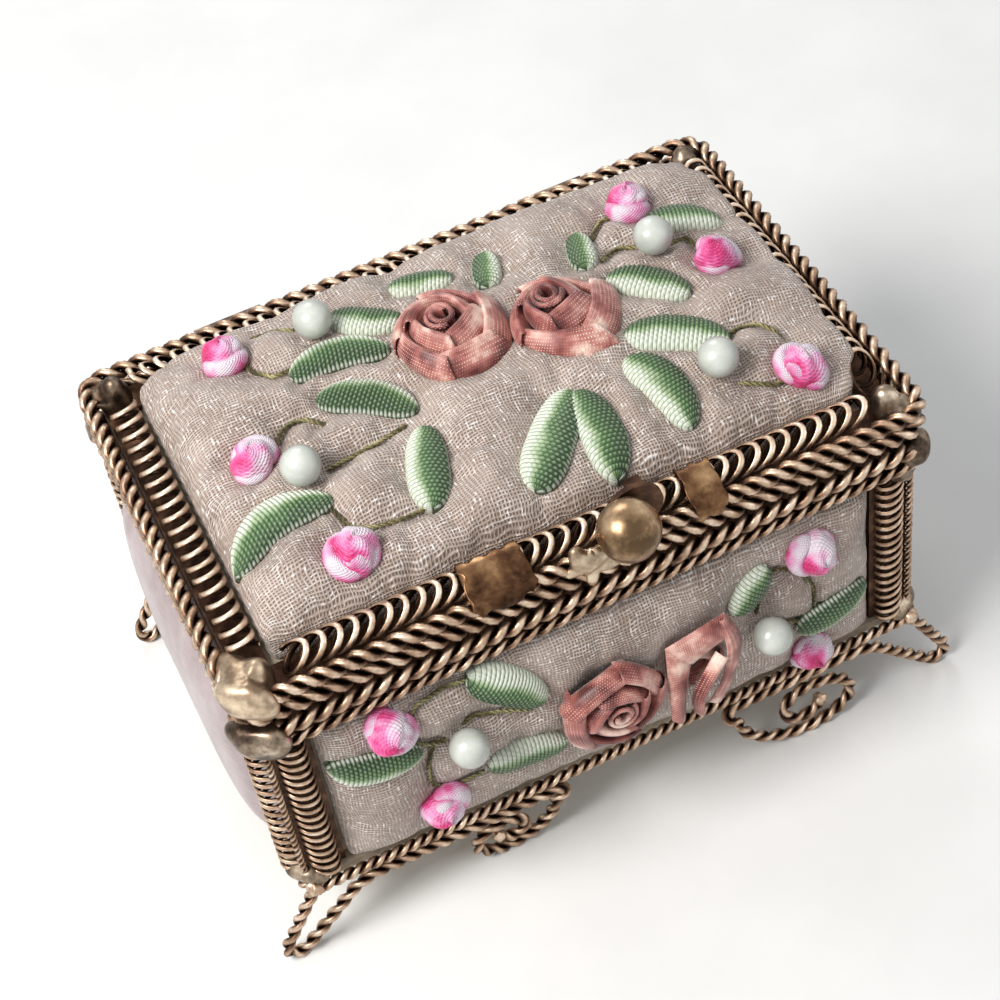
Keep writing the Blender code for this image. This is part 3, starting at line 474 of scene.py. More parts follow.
def piece(name, parts, finish, body, stands_for=(), weld=0.0, flip=False, smooth=True):
    """One object from several grids, riding on a body."""
    points, faces, uvs, start = [], [], [], 0
    for part_points, part_faces, part_uvs in parts:
        points.append(part_points)
        faces += [[start + k for k in face] for face in part_faces]
        uvs.append(part_uvs)
        start += len(part_points)
    mesh = bpy.data.meshes.new(name)
    mesh.from_pydata(np.vstack(points).tolist(), [], faces)
    layer = mesh.uv_layers.new(name="UVMap")
    layer.data.foreach_set("uv", np.vstack(uvs).astype(np.float32).ravel())
    if weld or flip:
        work = bmesh.new()
        work.from_mesh(mesh)
        if weld:
            bmesh.ops.remove_doubles(work, verts=work.verts, dist=weld)
        bmesh.ops.recalc_face_normals(work, faces=work.faces)
        work.to_mesh(mesh)
        work.free()
    if smooth:
        mesh.shade_smooth()
    mesh.materials.append(finish)
    made = linked(name, mesh)
    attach(made, body)
    if stands_for:
        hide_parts(*stands_for)
    return made


def unit(vectors):
    return vectors / np.linalg.norm(vectors, axis=-1, keepdims=True)


def tangents(path, closed):
    if closed:
        return unit(np.roll(path, -1, axis=0) - np.roll(path, 1, axis=0))
    return unit(np.gradient(path, axis=0))


def lengths(path, closed=False):
    """How far along the path each point lies, with the whole length last where it is closed."""
    nodes = np.vstack([path, path[:1]]) if closed else path
    steps = np.linalg.norm(np.diff(nodes, axis=0), axis=1)
    return np.concatenate([[0.0], np.cumsum(steps)])


def resample(path, count, closed=False):
    """The same path with evenly spaced points."""
    far = lengths(path, closed)
    nodes = np.vstack([path, path[:1]]) if closed else path
    marks = np.linspace(0, far[-1], count + 1)[:-1] if closed else np.linspace(0, far[-1], count)
    return np.stack([np.interp(marks, far, nodes[:, k]) for k in range(3)], axis=1)


def soften(path, rounds):
    """Corners eased by averaging each point with its neighbours."""
    for _ in range(rounds):
        inner = (path[:-2] + 2 * path[1:-1] + path[2:]) / 4
        path = np.vstack([path[:1], inner, path[-1:]])
    return path


def tube(path, toward, radius, sides=8, closed=False, flat=(1.0, 1.0)):
    """A wire whose first side faces toward, which may change along it; flat makes it oval."""
    ahead = tangents(path, closed)
    toward = np.broadcast_to(toward, path.shape)
    across = unit(toward - np.sum(toward * ahead, axis=1, keepdims=True) * ahead)
    other = np.cross(ahead, across)
    turn = np.arange(sides) / sides * TAU
    radius = np.broadcast_to(radius, len(path))[:, None, None]
    ring = flat[0] * np.cos(turn)[None, :, None] * across[:, None, :]
    ring = ring + flat[1] * np.sin(turn)[None, :, None] * other[:, None, :]
    points = path[:, None, :] + radius * ring
    far = lengths(path, closed) / MM
    return grid(points, far, np.arange(sides + 1) / sides, closed, True, caps=not closed)


def twisted(path, radius, lay, hand, up, closed=False, sides=7, share=0.5, sway=0.25):
    """Two strands twisted round a path: each a wire that winds round it once in every lay."""
    far = lengths(path, closed)
    whole = far[-1]
    turns = round(whole / lay)
    far = far[: len(path)]
    ahead = tangents(path, closed)
    side = unit(up - np.sum(up * ahead, axis=1, keepdims=True) * ahead)
    other = np.cross(ahead, side)
    phase = hand * TAU * turns * far / whole
    waves = max(1, round(whole / (23 * MM)))
    phase = phase + sway * np.sin(TAU * waves * far / whole + rng.uniform(0, TAU))
    made = []
    for strand in range(2):
        turn = phase + TAU * strand / 2
        out = np.cos(turn)[:, None] * side + np.sin(turn)[:, None] * other
        made.append(tube(path + radius * (1 - share) * out, out, radius * share, sides, closed))
    return made


def corner_ring(half_x, half_y, corner, z, count):
    """A rectangle with round corners as evenly spaced points at one height."""
    points = []
    for quarter, (sx, sy) in enumerate(((1, 1), (-1, 1), (-1, -1), (1, -1))):
        turn = math.pi / 2 * (quarter + np.linspace(0, 1, 13))
        x = sx * (half_x - corner) + corner * np.cos(turn)
        y = sy * (half_y - corner) + corner * np.sin(turn)
        points.append(np.stack([x, y + MID_Y, np.full_like(x, z)], axis=1))
    return resample(np.vstack(points), count, closed=True)


# ---------------------------------------------------------------- ropes, coils and feet
RIGHTWARD, BACKWARD, UP = np.eye(3)
HANDS = (("left", -1), ("right", 1))
# the box's corners: row, hand, and the signs of their y and x
CORNERS = tuple(
    (row, hand, side, end) for row, side in (("front", -1), ("back", 1)) for hand, end in HANDS
)


def ropes(gilt):
    """The twisted ropes and cords that run round the box."""
    rows = (
        ("lid_rope_upper", "lid", rope_x, rope_y, CORNER_R, 4.1 * MM, 1),
        ("lid_rope_lower", "lid", rope_x, rope_y, CORNER_R, 4.1 * MM, 1),
        ("rim_rope", "base", rope_x, rope_y, CORNER_R, 4.1 * MM, -1),
        ("rim_cord", "base", rope_x, rope_y, CORNER_R, 3.6 * MM, -1),
        ("foot_cord", "base", foot_cord_x, foot_cord_y, CORNER_R + foot_cord_x - rope_x, 2.8 * MM, -1),
    )
    for node, body, x, y, corner, lay, hand in rows:
        radius = half(node)[2]
        count = round(4 * (x + y) / lay * 13)
        path = corner_ring(x, y, corner, middle(node)[2], count)
        parts = twisted(path, radius, lay, hand, UP, closed=True)
        piece(node + "_wire", parts, gilt, body, (node,))


def coil_path(half_length, curls, axis, centre, radius, hand, ahead):
    """The centre line of an open coil and its outward direction: its curls vary a little, and
    slant ahead along the coil as they rise."""
    steps, lean = 20, 1.2
    count = curls * steps
    far = np.linspace(0, 1, count + 1)
    turn = TAU * curls * far * hand
    marks = np.linspace(0, 1, curls + 1)
    loose = np.interp(far, marks, rng.normal(0, 0.06, curls + 1))
    size = radius * np.interp(far, marks, rng.uniform(0.94, 1.0, curls + 1))
    reach = half_length - lean * radius * 0.5
    across = np.cos(turn) * size
    up = np.sin(turn) * size
    run = (2 * (far + loose / curls) - 1) * reach
    run = np.clip(run + ahead * lean * up, -half_length, half_length)
    order = [0, 1, 2] if axis == "x" else [1, 0, 2]
    path = np.column_stack([run, across, up])[:, order]
    out = np.column_stack([np.zeros_like(run), across, up])[:, order]
    return path + centre, unit(out)


def lid_coils(gilt):
    """The open coil of wire along each side of the lid's border, its curls leaning ahead."""
    rows = (
        ("front", "x", coil_half_x, LONG_CURLS, (0, MID_Y - coil_y, coil_z), 1, 1),
        ("back", "x", coil_half_x, LONG_CURLS, (0, MID_Y + coil_y, coil_z), 1, -1),
        ("left", "y", coil_half_y, SHORT_CURLS, (-coil_x, MID_Y, coil_z), -1, -1),
        ("right", "y", coil_half_y, SHORT_CURLS, (coil_x, MID_Y, coil_z), -1, 1),
    )
    for side, axis, length, curls, centre, hand, ahead in rows:
        size = COIL_R - COIL_WIRE_R
        path, out = coil_path(length - COIL_WIRE_R, curls, axis, np.array(centre), size, hand, ahead)
        name = f"lid_coil_{side}"
        wire = tube(path, out, COIL_WIRE_R, 10, flat=(0.75, 1.25))
        piece(name + "_wire", [wire], gilt, "lid", (name,))


# the scroll's quarter turns, from outside in: shares of its width and of its height
SCROLL_QUARTERS = ((0.61, 1.0), (0.39, 0.54), (0.35, 0.53), (0.25, 0.4), (0.15, 0.34), (0.17, 0.24))
FOOT_Z = 8.6 * MM
TURN_R = 1.15 * MM
TIP_R = 1.3 * MM
BEND = 1.6 * MM
FLAT = 0.15 * MM
FOOT_POINTS = 420


def arc(centre, radii, start, end, steps, skip=1):
    """Points along an arc, without its first unless nothing is skipped."""
    turn = np.linspace(start, end, steps + 1)[skip:]
    return [(centre[0] + radii[0] * math.cos(t), centre[1] + radii[1] * math.sin(t)) for t in turn]


def foot_route(end, side):
    """The foot's route, as the source bends it: scroll, straight run, splayed loop."""
    left = end < 0
    start, width, lean_by = (8.2 * MM, 9.8 * MM, -1.3 * MM) if left else (14.2 * MM, 14.2 * MM, 1.3 * MM)
    lowest = FOOT_R - FLAT
    here = (start, FOOT_Z - 2 * TURN_R)
    drop = here[1] - lowest
    points = [here]
    for quarter, (u_share, z_share) in enumerate(SCROLL_QUARTERS):
        radii = (u_share * width, z_share * drop)
        begin = math.pi + math.pi / 2 * quarter
        centre = (here[0] - radii[0] * math.cos(begin), here[1] - radii[1] * math.sin(begin))
        points += arc(centre, radii, begin, begin + math.pi / 2, 9)
        here = points[-1]
    points.reverse()
    points += arc((start, FOOT_Z - TURN_R), (TURN_R, TURN_R), -math.pi / 2, -math.pi * 3 / 2, 9)
    count = len(points)
    inner, outer = math.radians(46), math.radians(30)
    tip = (rope_x + 2.1 * MM, lowest + TIP_R)
    first = (tip[0] + TIP_R * math.cos(math.pi + inner), tip[1] + TIP_R * math.sin(math.pi + inner))
    climb = FOOT_Z - BEND - first[1]
    knee = (first[0] - climb * math.tan(inner), FOOT_Z - BEND)
    run_end = (knee[0] - 2 * BEND, FOOT_Z)
    points += [run_end, (run_end[0] + BEND / 2, FOOT_Z - BEND / 8)]
    points += [(knee[0] - BEND * 0.4, knee[1] + BEND * 0.4), knee, first]
    points += arc(tip, (TIP_R, TIP_R), math.pi + inner, TAU + outer, 12)
    last = points[-1]
    points.append((last[0] - (FOOT_Z - last[1]) * math.tan(outer), FOOT_Z))
    points.append((points[-1][0] - 1.3 * MM, FOOT_Z + 2.0 * MM))
    route = []
    for k, (out, z) in enumerate(points):
        lean = lean_by * (FOOT_Z - z) / FOOT_Z if k < count else 0.0
        route.append((end * out, MID_Y + side * (foot_cord_y + lean), z))
    return np.array(route)


def feet(gilt):
    """The four feet, flat underneath, with a lump of solder at each end of the wire."""
    for row, hand, side, end in CORNERS:
        name = f"foot_{row}_{hand}"
        route = soften(resample(foot_route(end, side), FOOT_POINTS), 6)
        parts = twisted(route, FOOT_R, 3.9 * MM, end * side, BACKWARD, sides=8, share=0.53)
        ends = [blob(route[0], 0.8 * MM, 0.15), blob(route[-1], 1.0 * MM, 0.2)]
        piece(name + "_wire", clamped(parts, low=0.0) + ends, gilt, "base", (name,))


def clamped(parts, low=-np.inf, high=np.inf):
    """The same grids kept between two heights."""
    return [(np.column_stack([p[:, :2], np.clip(p[:, 2], low, high)]), f, w) for p, f, w in parts]


def ball_angles(steps, pole):
    """The angles of a ball's points, down from just beside its pole and round it, and the
    directions that they lie in."""
    down = np.linspace(pole, math.pi - pole, steps // 2 + 2)
    a, b = np.meshgrid(down, np.linspace(0, TAU, steps + 1)[:-1], indexing="ij")
    return down, a, b, np.stack([np.sin(a) * np.cos(b), np.sin(a) * np.sin(b), np.cos(a)], axis=2)


def blob(centre, radius, rough, stretch=(1, 1, 1), steps=14):
    """A small lump, rounder than it is even."""
    down, a, b, ways = ball_angles(steps, 0.02)
    seeds = rng.uniform(0, TAU, 4)
    uneven = np.sin(3 * b + seeds[0]) * np.sin(2 * a + seeds[1]) + 0.6 * np.sin(5 * b + seeds[2] + 3 * a)
    points = ways * stretch * (radius * (1 + rough * uneven))[:, :, None] + centre
    return grid(points, down, np.zeros(steps + 1), wrap_v=True, caps=True)


def posts(gilt, dark, solder):
    """The corner posts: an angle strip, a thin twisted ridge and a full coil down each leg."""
    low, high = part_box("corner_post_front_right")
    z0, z1 = low[2], high[2]
    face_x = high[0] - 1.3 * MM
    face_y = MID_Y - (low[1] + 1.3 * MM)
    rim_z = middle("rim_rope")[2]
    width, inset, inner = 4.5 * MM, 2.25 * MM, 0.7 * MM
    section = (
        (face_x - inner, face_y - inner),
        (face_x - width, face_y - inner),
        (face_x - width, face_y),
        (face_x, face_y),
        (face_x, face_y - width),
        (face_x - inner, face_y - width),
    )
    wire, turns, steps = 0.27 * MM, 18, 20
    far = np.linspace(0, 1, turns * steps + 1)
    turn = TAU * turns * far
    swell = np.sin(turn)
    in_plane = (1.78 * MM - wire) * np.cos(turn)
    rise = (z0 + z1) / 2 + (2 * far - 1) * ((z1 - z0) / 2 - wire)
    for row, hand, side, end in CORNERS:
        def place(x, y, z):
            return np.array([end * x, MID_Y + side * y, z])

        name = f"corner_post_{row}_{hand}"
        ridge_at = face_x + 0.2 * MM, face_y + 0.2 * MM
        ridge = np.linspace(place(*ridge_at, z0), place(*ridge_at, z1), 120)
        parts = twisted(ridge, 0.42 * MM, 1.9 * MM, 1, RIGHTWARD)
        along_x, along_y = end * RIGHTWARD, side * BACKWARD
        legs = (
            (along_x, along_y, place(face_x - inset, face_y, 0), 1.7 * MM, 0.45),
            (along_y, along_x, place(face_x, face_y - inset, 0), 2.2 * MM, 0.2),
        )
        for across, outward, centre, proud, lean in legs:
            bulge = np.where(swell < 0, 0.1 * MM, proud - wire) * swell
            path = centre + in_plane[:, None] * across + bulge[:, None] * outward
            path[:, 2] = np.clip(rise + lean * in_plane, z0 + wire, z1 - wire)
            away = np.cos(turn)[:, None] * across + swell[:, None] * outward
            parts.append(tube(path, away, wire, 8, flat=(0.8, 1.2)))
        piece(name + "_wire", parts, gilt, "base", (name,))
        strip = np.array([[place(x, y, z) for x, y in section] for z in np.linspace(z0, z1, 12)])
        part = grid(strip, np.linspace(0, 24, 12), np.zeros(7), wrap_v=True, caps=True)
        piece(name + "_strip", [part], dark, "base", (name,), weld=1e-6, smooth=False)
        big = 1.0 if (row, hand) == ("front", "left") else 0.62
        turned = math.atan2(side, end)
        corner = place(rope_x - 1.0 * MM, rope_y - 1.0 * MM, rim_z - 0.9 * MM)
        top = place(face_x - 0.4 * MM, face_y - 0.4 * MM, z1 - 0.6 * MM)
        foot = place(face_x - 0.3 * MM, face_y - 0.3 * MM, z0 + 0.2 * MM)
        balls = [
            (corner, turned, mm(1.95, 3.5 * big, 2.5 * (0.6 + 0.4 * big))),
            (top, turned, mm(1.5, 2.4, 1.3)),
        ]
        lumps = [
            solder_mass(corner - (0, 0, 0.4 * MM), balls, 0.07),
            solder_mass(foot, [(foot, turned, mm(1.5, 2.6, 1.3))], 0.07),
        ]
        lumps = clamped(lumps, high=rim_z + 1.15 * MM)
        piece(name + "_solder", lumps, solder, "base", flip=True)


def solder_mass(heart, balls, rough=0.04):
    """One mass of solder round a point inside it, swelling softly over several round parts: the
    outermost place along each ray where the balls' shares add up to one."""
    steps, reach = 56, 8 * MM
    down, a, b, ways = ball_angles(steps, 0.02)
    far = np.linspace(0.02, 1, 100) * reach
    points = heart + ways[:, :, None, :] * far[:, None]
    full = np.zeros(points.shape[:3])
    for centre, turned, size in balls:
        c, s = math.cos(turned), math.sin(turned)
        local = points - centre
        x = (local[..., 0] * c + local[..., 1] * s) / size[0]
        y = (local[..., 1] * c - local[..., 0] * s) / size[1]
        full += np.exp(-2.4 * (x * x + y * y + (local[..., 2] / size[2]) ** 2 - 1))
    last = len(far) - 2 - np.argmax(full[:, :, -2::-1] > 1, axis=2)
    last = np.where((full > 1).any(axis=2), last, 0)[:, :, None]
    here, after = np.take_along_axis(full, last, 2), np.take_along_axis(full, last + 1, 2)
    share = np.clip((here - 1) / (here - after + 1e-9), 0, 1)
    out = (far[last] + share * (far[1] - far[0]))[:, :, 0]
    seeds = rng.uniform(0, TAU, 2)
    out = out * (1 + rough * np.sin(3 * b + seeds[0] + 2 * a) * np.sin(4 * a + seeds[1]))
    points = heart + ways * out[:, :, None]
    return grid(points, down, np.zeros(steps + 1), wrap_v=True, caps=True)


# ---------------------------------------------------------------- padded pieces
def crown_rise(inset, depth):
    """How far a padded cover has risen at a place in from its edge, from 0 to 1."""
    share = np.clip(inset / depth, 0, 1)
    return (1 - (1 - share) ** CROWN_POWER) ** (1 / CROWN_POWER)


def pad_height(half_u, half_v, edge, crown):
    """The even height of a crowned pad over points of its plan."""
    depth = min(half_u, half_v)

    def height(x, y):
        return edge + crown * crown_rise(half_u - np.abs(x), depth) * crown_rise(half_v - np.abs(y), depth)

    return height


def lining_pad(half_u, half_v, edge, crown, cells):
    """A crowned pad on its back: a fine top, its side and a flat underside, as three grids."""
    nu, nv = round(2 * half_u / cells), round(2 * half_v / cells)
    spread = math.pi / 2 * 0.82

    def eased(count):
        return np.sin(np.linspace(-1, 1, count + 1) * spread) / math.sin(spread)

    u, v = eased(nu) * half_u, eased(nv) * half_v
    a, b = np.meshgrid(u, v, indexing="ij")
    inner = np.array((half_u - PAD_CORNER, half_v - PAD_CORNER))
    over_u, over_v = np.maximum(np.abs(a) - inner[0], 0), np.maximum(np.abs(b) - inner[1], 0)
    reach = np.maximum(over_u, over_v)
    pull = np.where(reach > 0, reach / (np.hypot(over_u, over_v) + 1e-12), 1.0)
    x = np.sign(a) * (np.minimum(np.abs(a), inner[0]) + over_u * pull)
    y = np.sign(b) * (np.minimum(np.abs(b), inner[1]) + over_v * pull)
    rise = pad_height(half_u, half_v, 0, 1)(a, b)
    ripple = 0.05 * MM * np.sin(x / (2.9 * MM)) * np.sin(y / (3.7 * MM)) * rise
    top = np.stack([x, y, edge + crown * rise + ripple], axis=2)
    border = np.vstack([top[:, 0], top[-1, 1:], top[::-1, -1][1:], top[0, ::-1][1:-1]])
    outward = unit(border[:, :2] - np.clip(border[:, :2], -inner, inner) + 1e-9)
    side = []
    for share in np.linspace(0, 1, 8):
        ring = border.copy()
        ring[:, :2] += outward * (0.25 * MM * math.sin(math.pi * share) - 0.3 * MM * share ** 3)
        ring[:, 2] *= 1 - share
        side.append(ring)
    foot = side[-1]
    low = top.copy()
    low[:, :, 2] = 0
    low[:, 0] = foot[: nu + 1]
    low[-1, 1:] = foot[nu + 1 : nu + 1 + nv]
    low[::-1, -1][1:] = foot[nu + nv + 1 : 2 * nu + nv + 1]
    low[0, ::-1][1:-1] = foot[2 * nu + nv + 1 :]
    down = np.linspace(0, edge / MM, len(side))
    return [
        grid(top, u / MM, v / MM),
        grid(side, down, lengths(border, True) / MM, False, True),
        grid(low, u / MM, v / MM),
    ]


def moved(parts, matrix):
    """The same grids placed by a matrix."""
    m = np.array(matrix)
    return [(p @ m[:3, :3].T + m[:3, 3], f, w) for p, f, w in parts]


# leaves: place on the pad (-1 to 1 both ways), turn in degrees, size, side of the green edge, bend
LEAVES = (
    (-0.82, -0.46, 10, 1.1, -1, 0.35),
    (-0.39, 0.43, -10, 1.0, -1, 0.3),
    (-0.38, 0.05, -39, 1.0, -1, 0.2),
    (-0.33, -0.52, 71, 0.95, -1, 0.0),
    (0.05, -0.66, 48, 1.15, -1, 0.0),
    (0.19, -0.72, 86, 0.98, -1, -0.1),
    (0.58, -0.36, -32, 1.0, 1, -0.12),
    (0.44, -0.64, -80, 0.98, 1, -0.15),
    (0.61, 0.05, -44, 0.85, 1, -0.1),
    (0.86, 0.45, -14, 0.8, 1, -0.15),
    (0.49, 0.47, 75, 0.56, 1, 0.0),
    (0.19, 0.63, 70, 0.56, 1, 0.0),
    (-0.02, 0.74, -21, 0.65, 1, 0.0),
    (-0.25, 0.62, -39, 0.78, 1, 0.1),
)
# buds: place and turn
BUDS = (
    (-0.71, 0.78, -20),
    (-0.79, -0.03, 20),
    (-0.66, -0.83, 30),
    (0.73, 0.69, -10),
    (0.86, 0.07, 35),
    (0.86, -0.84, 20),
)
FRONT_LEAVES = (
    (-0.84, 0.38, -9, 0.9, 1, 0.1),
    (-0.36, 0.62, -45, 0.95, -1, 0.1),
    (-0.34, -0.33, -11, 0.85, -1, 0.1),
    (0.51, 0.50, 47, 0.6, -1, 0.0),
    (0.82, -0.29, 13, 0.85, 1, 0.1),
)
# stems: the places that each runs through
LID_STEMS = (
    ((-0.32, -0.2), (-0.43, -0.24), (-0.54, -0.26), (-0.6, -0.27)),
    ((-0.67, -0.4), (-0.65, -0.51), (-0.63, -0.66), (-0.56, -0.72), (-0.47, -0.74), (-0.36, -0.74)),
    ((-0.7, 0.04), (-0.66, 0.11), (-0.62, 0.13), (-0.58, 0.11), (-0.54, 0.03)),
    ((-0.66, 0.7), (-0.65, 0.6), (-0.6, 0.5), (-0.54, 0.5)),
    ((-0.6, 0.9), (-0.51, 0.88), (-0.46, 0.8)),
    ((0.53, 0.36), (0.6, 0.41), (0.67, 0.36)),
    ((0.76, 0.31), (0.83, 0.31), (0.84, 0.2)),
    ((0.67, -0.55), (0.7, -0.49), (0.76, -0.45), (0.83, -0.46), (0.87, -0.54), (0.87, -0.7)),
    ((0.66, -0.78), (0.71, -0.82), (0.76, -0.86), (0.82, -0.86)),
    ((0.55, 0.55), (0.62, 0.68), (0.71, 0.67)),
)
FRONT_STEMS = (
    ((-0.74, 0.5), (-0.66, 0.35), (-0.6, 0.3)),
    ((-0.64, 0.36), (-0.68, 0.06), (-0.68, -0.22), (-0.62, -0.39), (-0.5, -0.36)),
    ((-0.7, 0.7), (-0.67, 0.84), (-0.57, 0.9), (-0.44, 0.86)),
    ((-0.55, 0.4), (-0.5, 0.46), (-0.41, 0.36), (-0.3, 0.2)),
    ((0.53, 0.12), (0.56, 0.52), (0.61, 0.6), (0.69, 0.45), (0.75, 0.15), (0.75, -0.14)),
    ((0.6, -0.1), (0.68, -0.25), (0.73, -0.3)),
)
FRONT_BUDS = ((-0.77, 0.76, 20), (-0.66, -0.49, -10), (0.74, 0.66, 40), (0.73, -0.74, 25))
LEAF_LENGTH = 11.0 * MM
LEAF_WIDTH = 5.0 * MM


def slab(half_u, half_v, depth, cell):
    """A closed slab of even cells with round corners, unwrapped in millimetres: its points,
    faces and UVs, and which of its points are on top."""
    corner = PAD_CORNER
    nu, nv, nz = round(2 * half_u / cell), round(2 * half_v / cell), max(2, round(depth / cell))
    spots, points, layers, faces, uvs = {}, [], [], [], []

    def spot(i, j, k):
        if (i, j, k) not in spots:
            spots[i, j, k] = len(points)
            u, v = (2 * i / nu - 1) * half_u, (2 * j / nv - 1) * half_v
            over_u = max(abs(u) - (half_u - corner), 0.0)
            over_v = max(abs(v) - (half_v - corner), 0.0)
            if over_u and over_v:
                pull = max(over_u, over_v) / math.hypot(over_u, over_v)
                u = math.copysign(half_u - corner + over_u * pull, u)
                v = math.copysign(half_v - corner + over_v * pull, v)
            points.append((u, v, depth * k / nz))
            layers.append(k)
        return spots[i, j, k]

    def face(corners, out_u, out_v):
        faces.append([spot(*corner) for corner in corners])
        for number in faces[-1]:
            x, y, z = points[number]
            uvs.append(((x + out_u * (depth - z)) / MM, (y + out_v * (depth - z)) / MM))

    def wall(start, end, k, out_u, out_v):
        face([(*start, k), (*end, k), (*end, k + 1), (*start, k + 1)], out_u, out_v)

    for i in range(nu):
        for j in range(nv):
            ring = ((i, j), (i + 1, j), (i + 1, j + 1), (i, j + 1))
            face([(a, b, nz) for a, b in ring], 0, 0)
            face([(a, b, 0) for a, b in ring[::-1]], 0, 0)
    for k in range(nz):
        for i in range(nu):
            wall((i, 0), (i + 1, 0), k, 0, -1)
            wall((i + 1, nv), (i, nv), k, 0, 1)
        for j in range(nv):
            wall((nu, j), (nu, j + 1), k, 1, 0)
            wall((0, j + 1), (0, j), k, -1, 0)
    return np.array(points), faces, np.array(uvs), np.array(layers) == nz


def leaf_width(size):
    return LEAF_WIDTH * size ** 0.6


def leaf_frame(x, y, leaf, half_u, half_v):
    """Where points of a pad lie in a leaf's own frame, along and across it."""
    u, v, turn, size, flip, bend = leaf
    c, s = math.cos(math.radians(turn)), math.sin(math.radians(turn))
    dx, dy = x - u * half_u, y - v * half_v
    along = (dx * c + dy * s) / (LEAF_LENGTH * size / 2)
    width = leaf_width(size)
    arch = -flip * bend * width * (np.sin(math.pi * np.clip((along + 1) / 2, 0, 1)) - 0.6)
    across = (dy * c - dx * s - arch) / (width / 2)
    return along, across


def near_line(x, y, line, half_u, half_v):
    """How far points of a pad lie from a stem."""
    spots = np.array(line) * (half_u, half_v)
    least = np.full(x.shape, np.inf)
    for a, b in zip(spots[:-1], spots[1:]):
        step = b - a
        share = np.clip(((x - a[0]) * step[0] + (y - a[1]) * step[1]) / np.dot(step, step), 0, 1)
        least = np.minimum(least, np.hypot(x - a[0] - share * step[0], y - a[1] - share * step[1]))
    return least


def stitched(x, y, half_u, half_v, leaves, stems, rounds):
    """Which points of a cover its stitches hold, and how far these draw them in."""
    held = np.zeros(x.shape, dtype=bool)
    pull = np.zeros(x.shape)
    for leaf in leaves:
        along, across = leaf_frame(x, y, leaf, half_u, half_v)
        inside = np.abs(along) ** 2.6 + np.abs(across) ** 2 < 0.8
        tip = inside & (np.abs(along) > 0.7)
        held |= inside
        pull[inside] = np.maximum(pull[inside], 0.45 * MM)
        pull[tip] = 0.8 * MM
    for line in stems:
        near = near_line(x, y, line, half_u, half_v) < 0.45 * MM
        held |= near
        pull[near] = 1.05 * MM
    for u, v, radius, depth in rounds:
        near = np.hypot(x - u * half_u, y - v * half_v) < radius
        held |= near
        pull[near] = depth
    return held, pull


def puffed(rest, faces, pinned, pressure, shrink, cap):
    """The cover as cloth with air behind it, pinned where it is sewn down: a short cloth run at
    twenty times the size, with no point moving further than the cap."""
    scale, frames = 20.0, 20
    mesh = bpy.data.meshes.new("cloth_run")
    mesh.from_pydata((rest * scale).tolist(), [], faces)
    run = linked("cloth_run", mesh)
    run.vertex_groups.new(name="sewn").add(np.where(pinned)[0].tolist(), 1.0, "REPLACE")
    cloth = run.modifiers.new("cloth_run", "CLOTH")
    cloth_settings = dict(
        quality=5,
        mass=0.3,
        tension_stiffness=15,
        compression_stiffness=15,
        shear_stiffness=5,
        bending_stiffness=0.3,
        vertex_group_mass="sewn",
        use_pressure=True,
        uniform_pressure_force=pressure,
        shrink_min=shrink,
    )
    for key, value in cloth_settings.items():
        setattr(cloth.settings, key, value)
    cloth.settings.effector_weights.gravity = 0
    cloth.collision_settings.use_collision = False
    cloth.point_cache.frame_start = 1
    cloth.point_cache.frame_end = frames
    for frame_number in range(1, frames + 1):
        bpy.context.scene.frame_set(frame_number)
    solved = run.evaluated_get(bpy.context.evaluated_depsgraph_get()).to_mesh()
    moved_to = np.empty(len(solved.vertices) * 3, dtype=np.float32)
    solved.vertices.foreach_get("co", moved_to)
    bpy.data.objects.remove(run, do_unlink=True)
    bpy.data.meshes.remove(mesh)
    bpy.context.scene.frame_set(1)
    move = moved_to.reshape(-1, 3).astype(float) / scale - rest
    reach = np.linalg.norm(move, axis=1, keepdims=True) + 1e-12
    return rest + move / reach * cap * np.tanh(reach / cap)


def refined(made):
    """One subdivision laid on the piece's mesh."""
    modifier = made.modifiers.new("smooth", "SUBSURF")
    modifier.levels = 1
    modifier.render_levels = 1
    bpy.context.view_layer.update()
    done = bpy.data.meshes.new_from_object(made.evaluated_get(bpy.context.evaluated_depsgraph_get()))
    made.modifiers.remove(modifier)
    made.data = done
    done.shade_smooth()


BUD_SIZE = 1.32
BEAD_SIZE = 1.17
RIBBON_THICK = 0.13 * MM
LID_PEARLS = ((-0.41, 0.68), (-0.68, -0.28), (0.7, 0.28), (0.62, -0.69))
FRONT_PEARLS = ((-0.55, 0.33), (0.55, -0.02))


def sewn_rounds(groups):
    """The rounds that stitches hold under trimmings: place, reach and depth, from millimetres."""
    return [(spot[0], spot[1], reach * MM, depth * MM) for spots, reach, depth in groups for spot in spots]


def hills(points, held, top, half_u, half_v):
    """How the cover of a pad swells between its stitches, for its top points."""
    here = points[top][:, :2]
    sewn = points[held][:, :2]
    near = np.linalg.norm(here[:, None] - sewn[None], axis=2).min(axis=1)
    inset = np.minimum(half_u - np.abs(here[:, 0]), half_v - np.abs(here[:, 1]))
    swell = 1 - np.exp(-((near / (2.0 * MM)) ** 2))
    return 1.25 * MM * swell * np.clip(inset / (5 * MM), 0, 1)


